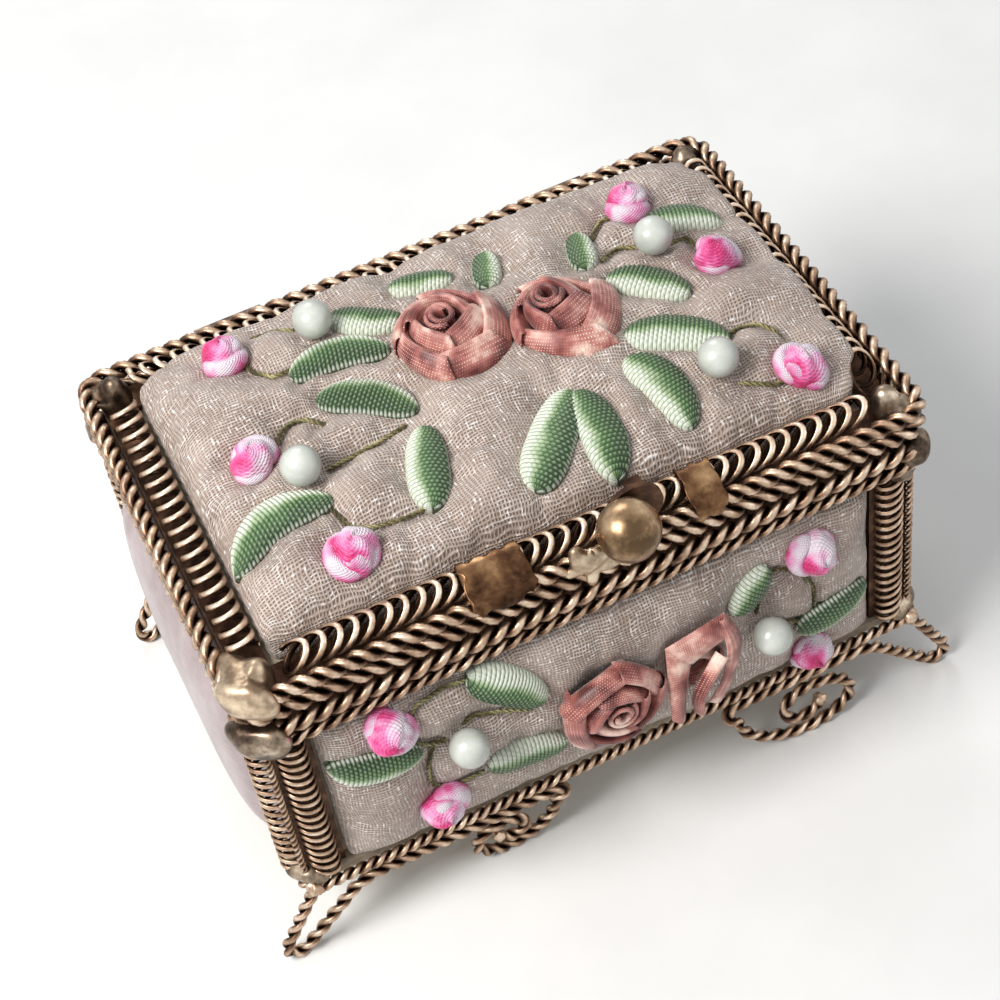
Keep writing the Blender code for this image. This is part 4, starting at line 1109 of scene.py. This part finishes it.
def cushion(finish):
    """The lid's cushion. At the back and the right its edge rolls out over the coil."""
    points, faces, uvs, top = slab(cushion_x, cushion_y, CUSHION_SIDE, 0.8 * MM)
    x, y = points[:, 0], points[:, 1]
    even = pad_height(cushion_x, cushion_y, CUSHION_SIDE, CUSHION_CROWN)(x, y)
    roses = [middle(f"lid_rose_{hand}") for hand, _ in HANDS]
    roses = [(rose[0] / cushion_x, (rose[1] - MID_Y) / cushion_y) for rose in roses]
    rounds = sewn_rounds(((BUDS, 2.1, 0.6), (LID_PEARLS, 1.3, -0.15), (roses, 3.6, 0.5)))
    held, pull = stitched(x, y, cushion_x, cushion_y, LEAVES, LID_STEMS, rounds)
    held &= top
    start = points.copy()
    start[top, 2] = even[top] - 0.45 * MM
    start[top, 2] += hills(points, held, top, cushion_x, cushion_y)
    start[held, 2] = even[held] - pull[held]
    for axis, reach, roll_by in ((0, cushion_x, ROLL_RIGHT), (1, cushion_y, ROLL)):
        inset_uv = np.clip(reach / MM - uvs[:, axis], 0, 6) / 6
        uvs[:, axis] += roll_by / MM * (1 - inset_uv) ** 2
        inset = np.clip(reach - points[:, axis], 0, 6 * MM) / (6 * MM)
        above = np.clip((start[:, 2] - 3.9 * MM) / (0.7 * MM), 0, 1)
        roll = above * above * (3 - 2 * above) * (1 - inset) ** 2 * top
        start[:, axis] += roll_by * roll
        start[:, 2] += 0.55 * MM * roll * (1 - (2 * np.clip(inset * 2, 0, 1) - 0.6) ** 2)
    done = puffed(start, faces, held | ~top, 3.2, -0.08, 1.2 * MM)
    room = np.where(done[:, 2] < 4.5 * MM, 0.15 * MM, 0.6 * MM)
    for axis, reach, most in ((0, cushion_x, 2.9 * MM), (1, cushion_y, 2.1 * MM)):
        over = np.where(done[:, 2] < 4.7 * MM, 0.15 * MM, most)
        done[:, axis] = np.clip(done[:, axis], -reach - room, reach + over)
    part = (done + (0, MID_Y, cushion_z), faces, uvs)
    made = piece("cushion_cover", [part], finish, "lid", ("lid_cushion",))
    refined(made)


def pad_matrix(side, reach, z, about=0.0):
    """Where a wall's pad lies, its back on the wall: 0 front, 1 right, 2 back, 3 left. It faces
    out, or in where it is turned about by half a turn."""
    turn = math.pi / 2 * side
    place = Matrix.Translation((reach * math.sin(turn), MID_Y - reach * math.cos(turn), z))
    return place @ Matrix.Rotation(turn + about, 4, "Z") @ Matrix.Rotation(math.pi / 2, 4, "X")


def wall_pads(gauze_finish, satin_finish):
    """The padded covers of the four walls. Returns the front one's half width, crown and place."""
    long_side = half("back_pad")[0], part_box("back_pad")[0][1] - MID_Y, 2 * half("back_pad")[1] - PAD_EDGE
    short_side = half("right_pad")[1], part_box("right_pad")[0][0], 2 * half("right_pad")[0] - PAD_EDGE
    rows = (
        ("front", 0, *long_side, gauze_finish, "gauze"),
        ("right", 1, *short_side, satin_finish, "satin"),
        ("back", 2, *long_side, satin_finish, "satin"),
        ("left", 3, *short_side, satin_finish, "satin"),
    )
    for name, side, half_u, reach, crown, finish, slot in rows:
        points, faces, uvs, top = slab(half_u, panel_half_z, PAD_EDGE, 0.85 * MM)
        x, y = points[:, 0], points[:, 1]
        even = pad_height(half_u, panel_half_z, PAD_EDGE, crown)(x, y)
        start = points.copy()
        start[top, 2] = even[top] - 0.3 * MM
        held = np.zeros(x.shape, dtype=bool)
        firm, cap = 0.6, 0.35 * MM
        if name == "front":
            firm, cap = 2.4, 0.9 * MM
            roses = [middle(f"front_rose_{hand}") for hand, _ in HANDS]
            roses = [(rose[0] / half_u, (rose[2] - panel_mid_z) / panel_half_z) for rose in roses]
            rounds = sewn_rounds(((FRONT_BUDS, 2.0, 0.6), (FRONT_PEARLS, 1.3, -0.1), (roses, 3.2, 0.4)))
            held, pull = stitched(x, y, half_u, panel_half_z, FRONT_LEAVES, FRONT_STEMS, rounds)
            held &= top
            start[top, 2] += 0.6 * hills(points, held, top, half_u, panel_half_z)
            start[held, 2] = even[held] - pull[held]
        done = puffed(start, faces, held | ~top, firm, -0.03, cap)
        for axis, most in ((0, half_u + 0.1 * MM), (1, panel_half_z + 0.1 * MM)):
            done[:, axis] = np.clip(done[:, axis], -most, most)
        matrix = pad_matrix(side, reach, panel_mid_z)
        part = moved([(done, faces, uvs)], matrix)
        made = piece(f"{name}_cover", part, finish, "base", (f"{name}_pad",))
        refined(made)
        if name == "front":
            front = half_u, crown, matrix
    return front


# ---------------------------------------------------------------- ribbon work
def leaf_grid(size, bend, flip):
    """A woven leaf on its back: blunt tips, a domed face ribbed across, a flat underside."""
    length = LEAF_LENGTH * size
    width = leaf_width(size)
    rib_count = round(length / (0.46 * MM))
    rows, columns = rib_count * 6, 19
    s = np.linspace(0, 1, rows + 1)
    across = np.linspace(0, 1, columns)
    shape = np.sqrt(np.clip(1 - np.abs(2 * s - 1) ** 2.8, 0.004, 1)) * (1 - 0.16 * s)
    a, b = np.meshgrid(s, across, indexing="ij")
    wide = shape[:, None] * width / 2
    side = 2 * b - 1
    x = (a - 0.5) * length
    arch = bend * width * (np.sin(math.pi * a) - 0.6)
    y = flip * side * wide - flip * arch
    dome = np.sqrt(np.clip(1 - side ** 2, 0, 1)) * (shape[:, None] ** 0.8)
    wave = rib_count * math.pi * a + 0.9 * side ** 2
    rib = np.abs(np.sin(wave))
    stitch = 0.5 + 0.5 * np.sin(side * 26 + np.floor(wave / math.pi) * math.pi)
    edge = np.exp(-((side - 0.93) / 0.07) ** 2)
    z = dome * 1.15 * MM + (rib - 0.6) * 0.17 * MM * np.sqrt(dome) + stitch * rib * dome * 0.05 * MM
    z = z + edge * rib * 0.26 * MM
    top = np.stack([x, y, z], axis=2)
    low = np.stack([x, y, np.full_like(x, -0.9 * MM)], axis=2)
    v = np.concatenate([across, np.minimum(across[::-1], 0.86), across[:1]])
    return shell(top, low, s * rib_count, v)


def roll_grid(centre_r, start, end, thick, tall, lift):
    """A soft roll of ribbon round part of a bud, thin at its two ends."""
    steps, sides = 40, 16
    turn = np.linspace(start, end, steps)
    swell = np.sin(np.linspace(0, math.pi, steps)) ** 0.45 + 0.02
    ring = np.linspace(0, TAU, sides + 1)[:-1]
    a, b = np.meshgrid(turn, ring, indexing="ij")
    size = swell[:, None]
    r = centre_r * (0.82 + 0.18 * size) + np.cos(b) * thick * size
    z = lift + np.sin(b) * tall * size * (1 - 0.25 * np.cos(b))
    points = np.stack([r * np.cos(a), r * np.sin(a), z], axis=2)
    crease = np.abs(np.sin(np.linspace(0, TAU, sides + 1) / 2 - 0.6))
    return grid(points, turn * centre_r / MM, 1 - crease, wrap_v=True, caps=True)


def bud_parts(seed):
    """A bud of folded ribbon: a dome, a broad roll round its front and a smaller one behind."""
    first = seed * 1.9
    opposite = first + math.pi
    size = BUD_SIZE * MM
    steps = 30
    heart = (0.25 * size * math.cos(first), 0.25 * size * math.sin(first), 0.5 * size)
    dome = blob(heart, 1.75 * size, 0.07, (1, 0.95, 0.98), steps)[0].reshape(-1, steps, 3)
    crease = np.abs(np.linspace(-1, 1, steps + 1)) ** 1.5
    parts = [grid(dome, np.linspace(0, 6, len(dome)), crease, wrap_v=True, caps=True)]
    rolls = (
        (1.62, opposite - 1.9, opposite + 1.7, 0.66, 0.95, 0.3),
        (1.55, first - 1.2, first + 1.3, 0.58, 0.7, 0.2),
        (1.15, opposite + 0.5, opposite + 2.6, 0.5, 0.6, 1.1),
    )
    for reach, start, end, thick, tall, lift in rolls:
        parts.append(roll_grid(reach * size, start, end, thick * size, tall * size, lift * size))
    return parts


def conform(part, u, v, turn, half_u, half_v, height):
    """A trimming laid on a pad: turned, moved to its place and let down onto the crown."""
    points, faces, uvs = part
    c, s = math.cos(math.radians(turn)), math.sin(math.radians(turn))
    x = u * half_u + points[:, 0] * c - points[:, 1] * s
    y = v * half_v + points[:, 0] * s + points[:, 1] * c
    z = height(x, y) + points[:, 2]
    return np.stack([x, y, z], axis=1), faces, uvs


# rings of petals: their number, shares of the rose's radius at the fold and at the lower edge,
# shares of its height at both
ROSE_RINGS = ((4, 0.45, 0.69, 0.98, 0.36), (5, 0.78, 1.06, 0.74, 0.06))
LOW_RINGS = ((4, 0.44, 0.70, 0.90, 0.30), (4, 0.78, 1.10, 0.58, 0.0))
OPEN_RINGS = ((4, 0.44, 0.68, 0.98, 0.46), (5, 0.80, 1.08, 0.84, 0.30))
LOOSE_RINGS = ((3, 0.5, 0.85, 0.55, 0.0),)


def rose_parts(radius, tall, seed, rings, lean, heart):
    """A folded ribbon rose: a rolled heart with a hole, and rings of petals. Each petal is a band
    that rises, folds over its top edge and slopes out to a straighter lower edge with pointed
    corners, one end lying over the next petal and the other tucked under. The top leans over."""
    parts = []
    if heart:
        share = np.linspace(0, 1, 80)[:, None]
        turn = TAU * 1.7 * share + seed
        lip = np.linspace(0, 1, 11)
        marks = (0, 0.5, 0.62, 0.74, 0.86, 1)
        out = np.interp(lip, marks, (0.0, 0.0, 0.05, 0.18, 0.36, 0.46)) * MM
        down = np.interp(lip, marks, (-2.0, -0.3, -0.08, 0.0, -0.06, -0.34)) * MM
        r = 0.45 * MM + 1.05 * MM * share + out
        z = tall * (1.0 - 0.07 * share) + down - 0.12 * MM * np.sin(turn * 1.5)
        points = np.stack([r * np.cos(turn), r * np.sin(turn), z], axis=2)
        parts.append((points, share[:, 0] * 11, lip * 3))
    marks = (0.0, 0.20, 0.28, 0.34, 0.40, 0.47, 1.0)
    outs = np.array((-0.50, -0.20, -0.07, 0.07, 0.22, 0.40)) * MM
    downs = np.array((-2.2, -0.38, -0.09, 0.0, -0.04, -0.20)) * MM
    for ring, (number, top_share, low_share, top_height, low_height) in enumerate(rings):
        top_r, low_r = top_share * radius, low_share * radius
        top_z, low_z = top_height * tall, low_height * tall
        for k in range(number):
            middle_turn = TAU * (k + 0.45 * ring) / number + seed + rng.normal(0, 0.10)
            reach = TAU / number * (0.60 + 0.08 * rng.uniform())
            a = np.linspace(-1, 1, 31)
            b = np.concatenate([np.linspace(0, 0.47, 13), np.linspace(0.47, 1, 10)[1:]])
            r = np.interp(b, marks, (*(top_r + outs), low_r))
            z = np.interp(b, marks, (*(top_z + downs), low_z))
            slope = np.clip((b - 0.47) / 0.53, 0, 1)
            r = r + 0.05 * radius * np.sin(math.pi * slope) * (1 + ring)
            aa = a[:, None]
            straight_share = 0.32 + 0.10 * slope[None, :]
            corner = 1 / np.cos(np.minimum(np.abs(aa) * reach, 1.0)) - 1
            far = r[None, :] * (1 + straight_share * corner) + 0.16 * MM * aa
            out = np.abs(aa) ** 2.4
            dip = tall * out * (0.13 + 0.18 * slope[None, :] * (ring + 1) / 2)
            over = (0.12 * MM + 0.03 * tall) * aa
            far = far * (1 - 0.16 * slope[None, :] * np.abs(aa) ** 5)
            wave = 0.14 * MM * np.sin(aa * 3 + k * 2.1 + ring) * slope[None, :]
            angle = middle_turn + aa * reach
            high = np.maximum(z[None, :] - dip + over + wave, -0.2 * MM)
            points = np.stack([far * np.cos(angle), far * np.sin(angle), high], axis=2)
            u = a * reach * (top_r + low_r) / 2 / MM
            parts.append((points, u, b * (low_r - top_r + 3.0 * MM) / MM))
    for points, _, _ in parts:
        share_up = np.clip(points[:, :, 2] / tall, 0, 1)
        points[:, :, 0] += lean[0] * share_up
        points[:, :, 1] += lean[1] * share_up
    return parts


def band(*edges):
    """A bowed band of ribbon between two edges, each given by a few points in millimetres."""
    first, second = (soften(resample(np.array(edge, dtype=float) * MM, 44), 40) for edge in edges)
    share = np.linspace(0, 1, 9)
    points = first[:, None, :] * (1 - share)[:, None] + second[:, None, :] * share[:, None]
    points[:, :, 2] += 0.5 * MM * np.sin(math.pi * share)
    return points, lengths(first) / MM, share * np.linalg.norm(first[0] - second[0]) / MM


# the loosely folded rose's bands, each between two edges, in millimetres
LOOSE_BANDS = (
    (
        ((-3.2, 5.5, 0.8), (-4.1, 2.0, 2.8), (-4.6, -2.3, 4.1)),
        ((-0.8, 2.4, 1.6), (-2.3, 0.4, 3.2), (-3.2, -3.1, 4.2)),
    ),
    (
        ((-3.3, 5.5, 0.9), (0.0, 7.6, 1.8), (3.2, 8.1, 1.6)),
        ((-0.7, 2.3, 1.8), (1.8, 4.8, 2.5), (4.7, 4.7, 2.2)),
    ),
    (
        ((3.4, 8.1, 1.5), (5.4, 3.9, 1.9), (4.3, -1.1, 2.2), (2.3, -5.2, 2.2)),
        ((2.6, 7.9, 2.2), (3.0, 3.3, 3.0), (1.9, -0.7, 3.3), (0.2, -3.3, 3.2)),
    ),
    (
        ((1.8, 3.6, 2.4), (-0.3, 1.0, 2.8), (-1.8, -1.3, 3.0), (-1.4, -4.5, 2.8)),
        ((2.9, 2.8, 3.2), (0.6, 0.9, 4.0), (-0.7, -1.4, 4.0), (-0.5, -4.6, 3.4)),
    ),
)


def ribbon_sheet(parts):
    """Ribbon grids given a thickness as closed thin shells."""
    shells = []
    for points, u, v in parts:
        normal = np.cross(np.gradient(points, axis=0), np.gradient(points, axis=1))
        normal = normal / (np.linalg.norm(normal, axis=2, keepdims=True) + 1e-12)
        half_way = normal * RIBBON_THICK / 2
        shells.append(shell(points + half_way, points - half_way, u, np.concatenate([v, v[::-1], v[:1]])))
    return shells


def ball_grid(centre, radius, steps):
    """A ball, barely uneven, with its poles at its sides."""
    down, a, b, ways = ball_angles(steps, 0.03)
    seeds = rng.uniform(0, TAU, 3)
    size = radius * (1 - 0.015 * (0.5 + 0.5 * np.sin(3 * b + seeds[0]) * np.cos(2 * a + seeds[1])))
    points = np.roll(ways, 1, axis=2) * size[:, :, None] + centre
    return grid(points, down, np.linspace(0, 1, steps + 1), wrap_v=True, caps=True)


def stem_parts(line, half_u, half_v, height):
    """A stem of two-ply thread laid along its stitches."""
    route = np.column_stack([np.array(line) * (half_u, half_v), np.zeros(len(line))])
    route = soften(resample(route, 60), 8)
    route[:, 2] = height(route[:, 0], route[:, 1]) - 0.35 * MM
    return twisted(route, 0.29 * MM, 1.4 * MM, 1, UP, sides=6, share=0.56, sway=0.1)


def trimmings(leaf, bud, rose, pearl_finish, thread, front):
    """Leaves, stems, buds, roses and pearls on the cushion and the front panel."""
    half_u, crown, front_place = front
    lid_place = Matrix.Translation((0, MID_Y, cushion_z))
    lid_plan = cushion_x, cushion_y, pad_height(cushion_x, cushion_y, CUSHION_SIDE, CUSHION_CROWN)
    front_plan = half_u, panel_half_z, pad_height(half_u, panel_half_z, PAD_EDGE, crown)
    sets = (
        ("lid", "lid", "lid_cushion", LEAVES, BUDS, LID_STEMS, lid_plan, lid_place),
        ("front", "base", "front_pad", FRONT_LEAVES, FRONT_BUDS, FRONT_STEMS, front_plan, front_place),
    )
    for name, body, node, leaves, buds, stems, plan, matrix in sets:
        parts = [part for line in stems for part in stem_parts(line, *plan)]
        piece(f"{name}_stems", moved(parts, matrix), thread, body, (node,))
        for number, (u, v, turn, size, flip, bend) in enumerate(leaves, 1):
            part = conform(leaf_grid(size, bend, flip), u, v, turn, *plan)
            piece(f"{name}_leaf_{number}", moved([part], matrix), leaf, body, (node,), flip=True)
        for number, (u, v, turn) in enumerate(buds, 1):
            parts = [conform(part, u, v, turn, *plan) for part in bud_parts(number)]
            piece(f"{name}_bud_{number}", moved(parts, matrix), bud, body, (node,), flip=True)
    pearls = [(f"lid_pearl_{number}", "lid", mm(0, 0, -0.28)) for number in range(1, 5)]
    pearls += [(f"front_pearl_{hand}", "base", mm(0, 0.28, 0)) for hand, _ in HANDS]
    for node, body, sunk in pearls:
        part = ball_grid(middle(node) + sunk, half(node)[0] * BEAD_SIZE, 26)
        piece(node + "_bead", [part], pearl_finish, body, (node,), flip=True)
    roses = (
        ("lid_rose_left", "lid", 0.4, ROSE_RINGS, (-1.2, 0.9), 1.08),
        ("lid_rose_right", "lid", 1.9, LOW_RINGS, (-2.0, 1.2), 1.02),
        ("front_rose_left", "base", 2.6, OPEN_RINGS, (0.0, 1.5), 1.12),
        ("front_rose_right", "base", 0.9, LOOSE_RINGS, (0.4, 0.6), 0.95),
    )
    for node, body, seed, rings, lean, size in roses:
        low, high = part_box(node)
        centre = middle(node)
        if body == "lid":
            tall, centre[2], turn = high[2] - low[2], low[2], Matrix.Identity(4)
        else:
            tall, centre[1], turn = high[1] - low[1], high[1], Matrix.Rotation(math.pi / 2, 4, "X")
        loose = rings is LOOSE_RINGS
        if loose:
            tall *= 0.6
        parts = rose_parts(half(node)[0] * size, tall, seed, rings, mm(*lean), not loose)
        if loose:
            parts += [band(*edges) for edges in LOOSE_BANDS]
        petals = moved(ribbon_sheet(parts), Matrix.Translation(centre) @ turn)
        piece(node + "_petals", petals, rose, body, (node,), flip=True)


# ---------------------------------------------------------------- solder, knob and lining
def solder_sheet(node, cast):
    """Solder run over the coil's rings and down over the rope: scalloped along the rings' tops."""
    pitch = 2 * coil_half_x / LONG_CURLS
    mid, reach = middle(node)[0], half(node)[0]
    rope_z = middle("lid_rope_upper")[2]
    over = arc((-coil_y, coil_z), mm(1.95, 1.95), *np.radians((66, 146)), 15, 0)
    down = arc((-rope_y, rope_z), mm(1.25, 1.25), *np.radians((88, 196)), 14, 0)
    spine = soften(np.array(over + down), 2)
    far = np.linspace(0, 1, len(spine))
    along = np.linspace(-1, 1, 44)
    a, b = np.meshgrid(along, far, indexing="ij")
    seeds = rng.uniform(0, TAU, 4)
    edge = 1 + 0.07 * np.sin(b * 9 + seeds[0]) + 0.05 * np.sin(b * 21 + seeds[1])
    edge = edge - 0.30 * np.clip(b - 0.72, 0, 1) ** 1.2
    x = mid + a * reach * 0.9 * edge
    ridge = 0.42 * MM * np.cos(TAU * x / pitch + 2.0 * b) * np.clip(1.25 - b * 1.2, 0, 1)
    bumps = 0.06 * MM * np.sin(x / (0.8 * MM) + 4 * b + seeds[2]) * np.sin(b * 8 + seeds[3])
    thick = (0.40 * MM + ridge + bumps) * np.clip((1 - np.abs(a) ** 6) * 1.4, 0.15, 1)
    first = 0.10 * (0.5 - 0.5 * np.cos(TAU * x / pitch))
    last = 1 - 0.16 * (0.5 + 0.5 * np.sin(a * 5 + seeds[1])) * np.clip(np.abs(a) * 1.4, 0.2, 1)
    place = first + (last - first) * b
    y = np.interp(place, far, spine[:, 0])
    z = np.interp(place, far, spine[:, 1])
    ahead = np.gradient(spine, axis=0)
    normal = unit(np.column_stack([-ahead[:, 1], ahead[:, 0]]))
    ny, nz = np.interp(place, far, normal[:, 0]), np.interp(place, far, normal[:, 1])
    outer = np.stack([x, MID_Y + y + ny * thick, z + nz * thick], axis=2)
    inner = np.stack([x, MID_Y + y - ny * 0.2 * MM, z - nz * 0.2 * MM], axis=2)
    part = shell(outer, inner, along, np.zeros(2 * len(far) + 1))
    piece(node + "_sheet", [part], cast, "lid", (node,), flip=True)


def metal_details(cast, mass, pale, ball_finish):
    """Solder over the coil, corner caps, and the ball knob."""
    for hand, _ in HANDS:
        solder_sheet(f"solder_patch_{hand}", cast)
    rope_z = middle("lid_rope_upper")[2]
    for row, hand, side, end in CORNERS:
        node = f"corner_cap_{row}_{hand}"
        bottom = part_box(node)[0][2]
        centre = middle(node)
        centre[2] = bottom + 0.2 * MM
        x, y = end * (rope_x - 0.9 * MM), MID_Y + side * (rope_y - 0.9 * MM)
        corner = np.array([x, y, rope_z - 0.2 * MM])
        heart = (centre + corner) / 2
        turn = math.atan2(side, end)
        balls = [(centre, turn, half(node) * (1, 1, 1.9))]
        poured = (row, hand) == ("front", "left")
        if poured:
            balls.append((centre + mm(-1.7, 0.8, 0.6), 0.15, mm(1.8, 3.9, 2.1)))
            balls.append((corner + mm(0.3, 0.2, -0.3), turn, mm(1.5, 3.4, 2.5)))
        else:
            balls.append((heart, turn, mm(2.2, 1.6, 1.2)))
        lumps = clamped([solder_mass(heart, balls)], low=bottom - 1.6 * MM)
        piece(node + "_lump", lumps, pale if poured else mass, "lid", (node,), flip=True)
    low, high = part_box("lift_knob")
    radius = half("lift_knob")[0]
    centre = middle("lift_knob")
    centre[1] = low[1] + radius
    points, faces, uvs = ball_grid(centre, radius, 48)
    points[:, 1] = np.minimum(points[:, 1], high[1])
    ball = [(points, faces, uvs)]
    piece("lift_knob_ball", ball, ball_finish, "lid", ("lift_knob",), flip=True)
    base = np.array([centre[0], MID_Y - rope_y - 0.7 * MM, rope_z + 0.9 * MM])
    drips = (
        ((-3.6, -0.1, -0.4), (2.2, 0.8, 1.5)),
        ((-5.3, -0.1, 0.9), (0.9, 0.7, 1.5)),
        ((-5.6, 0.0, -1.1), (1.1, 0.6, 0.6)),
        ((-3.9, 0.0, -2.7), (0.7, 0.7, 1.5)),
        ((-1.4, 0.1, -2.0), (2.0, 0.7, 0.8)),
    )
    balls = [(base + mm(*at), 0.1, mm(*size)) for at, size in drips]
    drip = solder_mass(balls[0][0], balls, 0.06)
    piece("knob_solder", [drip], pale, "lid", flip=True)


def soft_linings(finish):
    """Satin pads that line the case and the lid."""
    wide_x, wide_y, tall = half("base_lining")
    edge, crown, cells = 0.35 * MM, 0.45 * MM, 0.9 * MM
    floor = lining_pad(wide_x - edge, wide_y - edge, edge, crown, cells)
    parts = moved(floor, Matrix.Translation((0, MID_Y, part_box("base_lining")[0][2])))
    for side in range(4):
        half_u, reach = (wide_x, wide_y) if side % 2 == 0 else (wide_y, wide_x)
        inward = pad_matrix(side, reach, middle("base_lining")[2], math.pi)
        parts += moved(lining_pad(half_u - edge, tall, edge, crown, cells), inward)
    case = piece("case_lining", parts, finish, "base", ("base_lining",))
    half_u, half_v, half_thick = half("lid_lining")
    place = Matrix.Translation((0, MID_Y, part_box("lid_lining")[1][2])) @ Matrix.Rotation(math.pi, 4, "X")
    parts = moved(lining_pad(half_u, half_v, half_thick * 0.8, half_thick * 1.2, 0.8 * MM), place)
    pad = piece("lid_lining_pad", parts, finish, "lid", ("lid_lining",))


def carried_nodes(card_finish, dark, cast):
    """Procedural finishes for the CAD nodes that keep their shape."""
    hinges = [f"hinge_{part}_{hand}" for part in ("rim_leaf", "lid_leaf", "pin") for hand, _ in HANDS]
    rules = (
        (card_finish, ("base_floor", "front_wall", "back_wall", "left_wall", "right_wall", "lid_board")),
        (dark, ("base_rim", "lid_border", "knob_plate")),
        (cast, hinges),
    )
    for finish, names in rules:
        for name in names:
            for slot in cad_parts[name].material_slots:
                slot.material = finish


def studio():
    """Soft window light from the left, under a sky that the camera and reflections see white."""
    world = bpy.data.worlds.new("studio")
    bpy.context.scene.world = world
    world.use_nodes = True
    tree = world.node_tree
    sky = tree.nodes["Background"]
    sky.inputs["Color"].default_value = (0.93, 0.96, 1.0, 1.0)
    sky.inputs["Strength"].default_value = 0.40
    white = tree.nodes.new("ShaderNodeBackground")
    white.inputs["Color"].default_value = (1.0, 1.0, 1.0, 1.0)
    path = tree.nodes.new("ShaderNodeLightPath")
    seen = path.outputs["Is Camera Ray"]
    for ray in ("Is Glossy Ray", "Is Transmission Ray"):
        either = tree.nodes.new("ShaderNodeMath")
        either.operation = "MAXIMUM"
        tree.links.new(seen, either.inputs[0])
        tree.links.new(path.outputs[ray], either.inputs[1])
        seen = either.outputs[0]
    blend = tree.nodes.new("ShaderNodeMixShader")
    tree.links.new(seen, blend.inputs[0])
    tree.links.new(sky.outputs[0], blend.inputs[1])
    tree.links.new(white.outputs[0], blend.inputs[2])
    tree.links.new(blend.outputs[0], tree.nodes["World Output"].inputs[0])
    area_light("key", (-0.26, -0.07, 0.33), (0, 0, 0.03), 0.22, 2.0, (1.0, 0.98, 0.96))
    area_light("fill", (0.40, -0.30, 0.25), (0, 0, 0.03), 0.4, 0.3)
    area_light("back", (0.05, 0.45, 0.40), (0, 0, 0.03), 0.3, 0.9)


def main():
    camera()
    gilt = gilt_wire()
    cast = gilt_cast("patch_solder", ((48, 32, 22), (86, 60, 42), (126, 94, 66), (180, 146, 108)))
    mass = gilt_cast("corner_solder", ((46, 37, 31), (88, 74, 63), (142, 126, 108), (220, 206, 186)))
    stops = (128, 108, 88), (184, 164, 140), (220, 202, 176), (240, 226, 202)
    pale = gilt_cast("pale_solder", stops, (0.42, 0.28), 0.12)
    stops = (98, 78, 58), (144, 118, 90), (184, 157, 125), (230, 206, 172)
    ball = gilt_cast("knob_gilt", stops, (0.34, 0.24), 0.1, 0.2)
    dark = dark_sheet()
    gauze_finish, satin_finish = gauze(), satin()
    ropes(gilt)
    lid_coils(gilt_wire("gilt_coil", 0.09))
    feet(gilt)
    posts(gilt, dark, mass)
    cushion(gauze_finish)
    front = wall_pads(gauze_finish, satin_finish)
    trimmings(leaf_ribbon(), bud_ribbon(), rose_ribbon(), pearl(), stem_thread(), front)
    metal_details(cast, mass, pale, ball)
    soft_linings(satin_finish)
    carried_nodes(card(), dark, mass)

    wide = 1.2
    corners = [(-wide, -wide, 0), (wide, -wide, 0), (wide, wide, 0), (-wide, wide, 0)]
    floor_mesh = bpy.data.meshes.new("floor")
    floor_mesh.from_pydata(corners, [], [(0, 1, 2, 3)])
    floor_mesh.materials.append(floor_paint())
    floor = linked("floor", floor_mesh)

    studio()
    bpy.context.scene.view_settings.view_transform = "Standard"


main()
